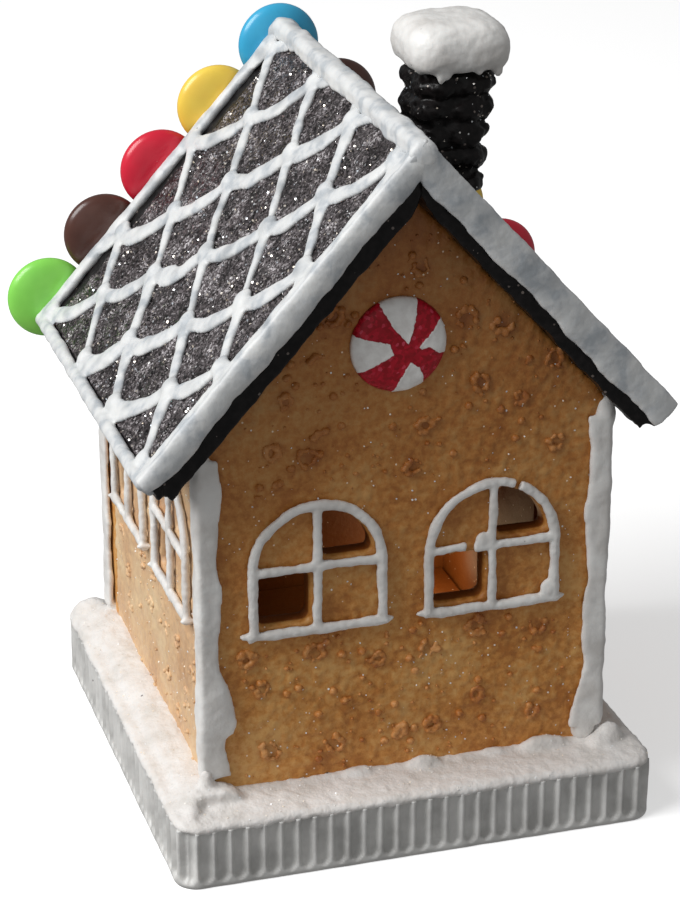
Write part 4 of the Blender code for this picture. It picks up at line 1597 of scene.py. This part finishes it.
@dataclass
class Peppermint:
    """The round mint on a gable, with four red wedges and four white panels."""

    plane: WallPlane
    x: float = -1.4
    z: float = 79.9
    radius: float = 7.3
    height: float = 1.7

    @property
    def middle(self) -> float:
        """The mint's place across its own plane, which puts the front and back mints at the same x."""
        return self.x * self.plane.across.x

    def panels(self) -> list[list[tuple[float, float]]]:
        """The white panels' outlines, as shares of the radius across and up."""
        return [
            [(-0.43, 1.1), (-0.41, 0.86), (-0.18, 0.43), (0.1, 0.1), (0.14, 0.06), (0.23, 0.3), (0.4, 1.1)],
            [
                (1.1, 0.66), (0.86, 0.51), (0.36, -0.03), (0.42, -0.08),
                (0.6, -0.05), (0.8, -0.22), (1.1, -0.27),
            ],
            [(0.18, -0.33), (0.02, -0.6), (-0.2, -1.1), (0.52, -1.1), (0.48, -0.7), (0.38, -0.46)],
            [(-0.16, -0.14), (-0.25, 0.1), (-0.9, 0.28), (-1.1, 0.34), (-1.1, -0.62), (-0.88, -0.52)],
        ]

    def inside(self, place: Vector) -> float:
        """How far a point is inside the nearest white panel, in millimetres.

        Args:
            place: the point.

        Returns:
            The distance, negative outside every panel.
        """
        a = (place - self.plane.point(0, 0)).dot(self.plane.across)
        here = ((a - self.middle) / self.radius, (place.z - self.z) / self.radius)
        best = -9.0
        for outline in self.panels():
            within, nearest = False, 9.0
            for (x0, y0), (x1, y1) in zip(outline, outline[1:] + outline[:1]):
                if (y0 > here[1]) != (y1 > here[1]):
                    if here[0] < x0 + (x1 - x0) * (here[1] - y0) / (y1 - y0):
                        within = not within
                span = (x1 - x0) ** 2 + (y1 - y0) ** 2
                t = ((here[0] - x0) * (x1 - x0) + (here[1] - y0) * (y1 - y0)) / span
                t = min(1.0, max(0.0, t))
                gap = math.hypot(here[0] - x0 - t * (x1 - x0), here[1] - y0 - t * (y1 - y0))
                nearest = min(nearest, gap)
            best = max(best, nearest if within else -nearest)
        return best * self.radius

    def build(self) -> bpy.types.Object:
        """Spins the boss, roughens it and marks its white panels.

        Returns:
            The mint as one object.
        """
        node = f"peppermint_{self.plane.name}"
        casting = Casting(f"{self.plane.name}_mint_boss")
        bm = casting.bm
        steps = 46
        last = bm.verts.new((0.0, 0.0, self.height))
        outline: list[Any] = [last]
        for step in range(1, steps + 1):
            share = step / steps
            rise = self.height * (1 - share**4) ** 0.5
            vert = bm.verts.new((self.radius * share, 0.0, rise if step < steps else 0.0))
            outline += [bm.edges.new((last, vert)), vert]
            last = vert
        foot = bm.verts.new((0.0, 0.0, 0.0))
        outline += [bm.edges.new((last, foot)), foot]
        bmesh.ops.spin(
            bm, geom=outline, axis=(0, 0, 1), cent=(0, 0, 0), angle=math.tau, steps=110, use_merge=True
        )
        bmesh.ops.remove_doubles(bm, verts=bm.verts, dist=0.001)
        bmesh.ops.recalc_face_normals(bm, faces=bm.faces)
        up = Vector((0, 0, 1))
        turn = Matrix((self.plane.across, up, self.plane.outward)).transposed().to_4x4()
        turn.translation = self.plane.point(self.middle, self.z, 0.0)
        bmesh.ops.transform(bm, matrix=turn, verts=bm.verts)

        def paint_edge(place: Vector, normal: Vector) -> float:
            share = math.exp(-((self.inside(place) / 0.28) ** 2))
            facing = max(0.0, normal.dot(self.plane.outward))
            step = 0.16 if self.inside(place) > 0 else 0.0
            return facing * (0.12 * share + step + Lumps(1.2, 0.12, 2.0).at(place))

        casting.push(paint_edge)
        return casting.place(MINT, "peppermint", [node], attribute=self.inside)


# --------------------------------------------------------------------------- glitter


@dataclass
class Glitter:
    """Loose flakes of glitter caught in the lacquer of one surface."""

    name: str
    slot: str
    count: int
    radius: tuple[float, float]
    tilt: float
    seed: int
    finish: Finish = FLAKES

    def scatter(self, host: bpy.types.Object, wanted: Callable[[Vector, Vector], bool]) -> bpy.types.Object:
        """Drops the flakes on a finished piece.

        Args:
            host: the piece that they lie on.
            wanted: says whether a place with its normal takes a flake.

        Returns:
            All its flakes as one object.
        """
        rng = random.Random(self.seed)
        faces = [p for p in host.data.polygons if wanted(p.center / MM, p.normal)]
        picks = rng.choices(faces, weights=[p.area for p in faces], k=self.count)
        template = bmesh.new()
        bmesh.ops.create_cone(template, cap_ends=True, segments=5, radius1=1.0, radius2=1.0, depth=0.18)
        plate = bpy.data.meshes.new("plate")
        template.to_mesh(plate)
        template.free()
        casting = Casting(self.name)
        for face in picks:
            lean = Vector([rng.uniform(-self.tilt, self.tilt) for _ in range(3)])
            turn = Vector((0, 0, 1)).rotation_difference(face.normal + lean).to_matrix().to_4x4()
            size = rng.uniform(*self.radius)
            move = Matrix.Translation(face.center / MM + face.normal * size * 0.35)
            place = move @ turn @ Matrix.Rotation(rng.uniform(0, math.tau), 4, "Z")
            place = place @ Matrix.Diagonal((size, size, size * 0.7, 1.0))
            plate.transform(place)
            casting.bm.from_mesh(plate)
            plate.transform(place.inverted())
        bpy.data.meshes.remove(plate)
        return casting.place(self.finish, self.slot, smooth=False)


# --------------------------------------------------------------------------- studio


@dataclass
class Studio:
    """A pale floor, one large soft key light, and the camera."""

    azimuth: float = math.radians(-16.99)
    elevation: float = math.radians(22.79)
    distance: float = 0.4520
    target: Vector = field(default_factory=lambda: Vector((-0.00097, 0.0, 0.05127)))
    lens: float = 115.06

    def away(self, azimuth: float, elevation: float) -> Vector:
        """The direction from the target towards a place at this azimuth and elevation."""
        flat = math.cos(elevation)
        return Vector((math.sin(azimuth) * flat, -math.cos(azimuth) * flat, math.sin(elevation)))

    def camera(self) -> None:
        """Sets the camera up."""
        data = bpy.data.cameras.new("camera")
        data.lens = self.lens
        data.sensor_width = 36.0
        data.clip_start = 0.01
        camera = bpy.data.objects.new("camera", data)
        away = self.away(self.azimuth, self.elevation)
        camera.location = self.target + away * self.distance
        camera.rotation_euler = away.to_track_quat("Z", "Y").to_euler()
        bpy.context.scene.collection.objects.link(camera)
        bpy.context.scene.camera = camera

    def light(self, name: str, azimuth: float, elevation: float, size: float, power: float) -> None:
        """Hangs one square soft box that faces the ornament.

        Args:
            name: the light's name.
            azimuth: where it hangs, in degrees round from the front.
            elevation: how high it hangs, in degrees.
            size: the length of its side in metres.
            power: its power in watts.
        """
        data = bpy.data.lights.new(name, "AREA")
        data.energy = power
        data.size = size
        lamp = bpy.data.objects.new(name, data)
        away = self.away(math.radians(azimuth), math.radians(elevation))
        lamp.location = self.target + away * 1.1
        lamp.rotation_euler = away.to_track_quat("Z", "Y").to_euler()
        bpy.context.scene.collection.objects.link(lamp)

    def glow(self) -> None:
        """Puts a very weak warm glow inside the house, as daylight through the resin gives."""
        data = bpy.data.lights.new("inner_glow", "POINT")
        data.energy = 0.004
        data.color = (1.0, 0.72, 0.42)
        data.shadow_soft_size = 0.01
        lamp = bpy.data.objects.new("inner_glow", data)
        lamp.location = (0.02, 0.02, 0.019)
        bpy.context.scene.collection.objects.link(lamp)

    def build(self) -> None:
        """Lays the floor, lights the room and sets the camera."""
        scene = bpy.context.scene
        scene.view_settings.view_transform = "Standard"
        world = bpy.data.worlds.new("studio")
        world.use_nodes = True
        background = world.node_tree.nodes["Background"]
        background.inputs["Color"].default_value = (1.0, 1.0, 1.0, 1.0)
        background.inputs["Strength"].default_value = 0.24
        scene.world = world
        floor = Casting("floor")
        bmesh.ops.create_grid(floor.bm, x_segments=8, y_segments=8, size=3.0)
        mesh = bpy.data.meshes.new("floor")
        floor.bm.to_mesh(mesh)
        floor.bm.free()
        card = bpy.data.objects.new("floor", mesh)
        mesh.materials.append(CARD.material())
        scene.collection.objects.link(card)
        card.visible_diffuse = False
        card.visible_glossy = False
        self.light("key_softbox", -82.0, 42.0, 0.7, 12.5)
        self.light("front_fill", -20.0, 20.0, 0.8, 0.5)
        self.glow()
        self.camera()


# --------------------------------------------------------------------------- the whole ornament

SWEETS = (
    Sweet("sweet_apex_blue", SweetColour.BLUE), Sweet("sweet_left_yellow", SweetColour.YELLOW),
    Sweet("sweet_left_red", SweetColour.RED), Sweet("sweet_left_brown", SweetColour.BROWN),
    Sweet("sweet_left_green", SweetColour.GREEN), Sweet("sweet_right_brown", SweetColour.BROWN),
    Sweet("sweet_right_green", SweetColour.GREEN), Sweet("sweet_right_yellow", SweetColour.YELLOW),
    Sweet("sweet_right_red", SweetColour.RED),
)


def inner_floor() -> bpy.types.Object:
    """Casts the bare brown resin floor that shows through the pierced panes.

    Returns:
        The floor as one object.
    """
    casting = Casting("inner_floor")
    bmesh.ops.create_cube(casting.bm, size=1.0)
    bmesh.ops.scale(casting.bm, vec=(53.0, 55.0, 0.6), verts=casting.bm.verts)
    bmesh.ops.translate(casting.bm, vec=(0.0, 2.0, 13.4), verts=casting.bm.verts)
    return casting.place(GINGERBREAD, "gingerbread", smooth=False, attribute=lambda _: 0.9)


def wall_centres(plane: WallPlane) -> tuple[float, float]:
    """How far across each of a wall's two windows is centred."""
    if plane in (FRONT, BACK):
        return (-13.8, 13.6)
    return (-15.8, 12.3) if plane is LEFT else (-12.3, 15.8)


def window_number(plane: WallPlane, centre: float) -> int:
    """Finds which of a wall's two CAD window nodes is centred here.

    Args:
        plane: the wall.
        centre: the window's place across it.

    Returns:
        The node's number.
    """
    wanted = plane.point(centre, 46.0)
    gaps = []
    for number in (1, 2):
        low, high = (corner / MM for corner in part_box(f"{plane.name}_window_icing_{number}"))
        gaps.append(((low + high) / 2 - wanted).length)
    return 1 if gaps[0] < gaps[1] else 2


def main() -> None:
    """Builds the ornament piece by piece, then the studio."""
    logging.basicConfig(level=logging.INFO, format="%(message)s")
    plinth = Plinth()
    plinth.build()
    snow = SnowBase(plinth).build()
    walls = [
        Wall(FRONT, GINGERBREAD, CRUMB, gable=True, seed=1),
        Wall(BACK, GINGERBREAD, CRUMB, gable=True, seed=2),
        # The lit left wall wears painted light and fainter painted shade in its rings.
        Wall(LEFT, LIT_GINGERBREAD, LIT_GINGERBREAD, seed=3, pit_shade=0.15),
        Wall(RIGHT, GINGERBREAD, CRUMB, seed=4),
    ]
    cast_walls = [wall.build() for wall in walls]
    for plane in WALLS:
        for centre in wall_centres(plane):
            broken = plane is FRONT and centre > 0
            IcedWindow(plane, window_number(plane, centre), centre, broken).build()
    inner_floor()
    CornerIcing("corner_icing_front_left", Vector((-28.7, -30.5, 26.0))).build()
    for name in ("corner_icing_front_right", "corner_icing_back_left", "corner_icing_back_right"):
        CornerIcing(name).build()
    crusts = [RoofSlope(side).build() for side in (-1, 1)]
    RidgeIcing().build()
    stack = Chimney().build()
    for sweet in SWEETS:
        sweet.build()
    for plane in (FRONT, BACK):
        Peppermint(plane).build()
    for index, crust in enumerate(crusts):
        flakes = Glitter(
            f"{crust.name}_glitter", "black_resin", count=1900, radius=(0.1, 0.22), tilt=0.7, seed=50 + index
        )
        flakes.scatter(crust, lambda place, normal: normal.z > 0.2)
    for plane, wall in zip(WALLS, cast_walls):
        flakes = Glitter(
            f"{plane.name}_wall_glitter", "gingerbread", count=300, radius=(0.07, 0.19), tilt=0.7, seed=60,
            finish=PEARL_FLAKES,
        )
        flakes.scatter(
            wall,
            lambda place, normal, plane=plane: normal.dot(plane.outward) > 0.6
            and (place - plane.origin).dot(plane.outward) > -0.8,
        )
    flakes = Glitter(
        "snow_glitter", "icing", count=420, radius=(0.1, 0.18), tilt=0.6, seed=70, finish=PEARL_FLAKES
    )
    flakes.scatter(snow, lambda place, normal: normal.z > 0.3 and (abs(place.x) > 31 or abs(place.y) > 30))
    flakes = Glitter("chimney_glitter", "black_resin", count=160, radius=(0.08, 0.17), tilt=0.7, seed=71)
    flakes.scatter(stack, lambda place, normal: abs(normal.z) < 0.8 and place.z > 92)
    Studio().build()
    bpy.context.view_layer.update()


if __name__ == "__main__":
    main()
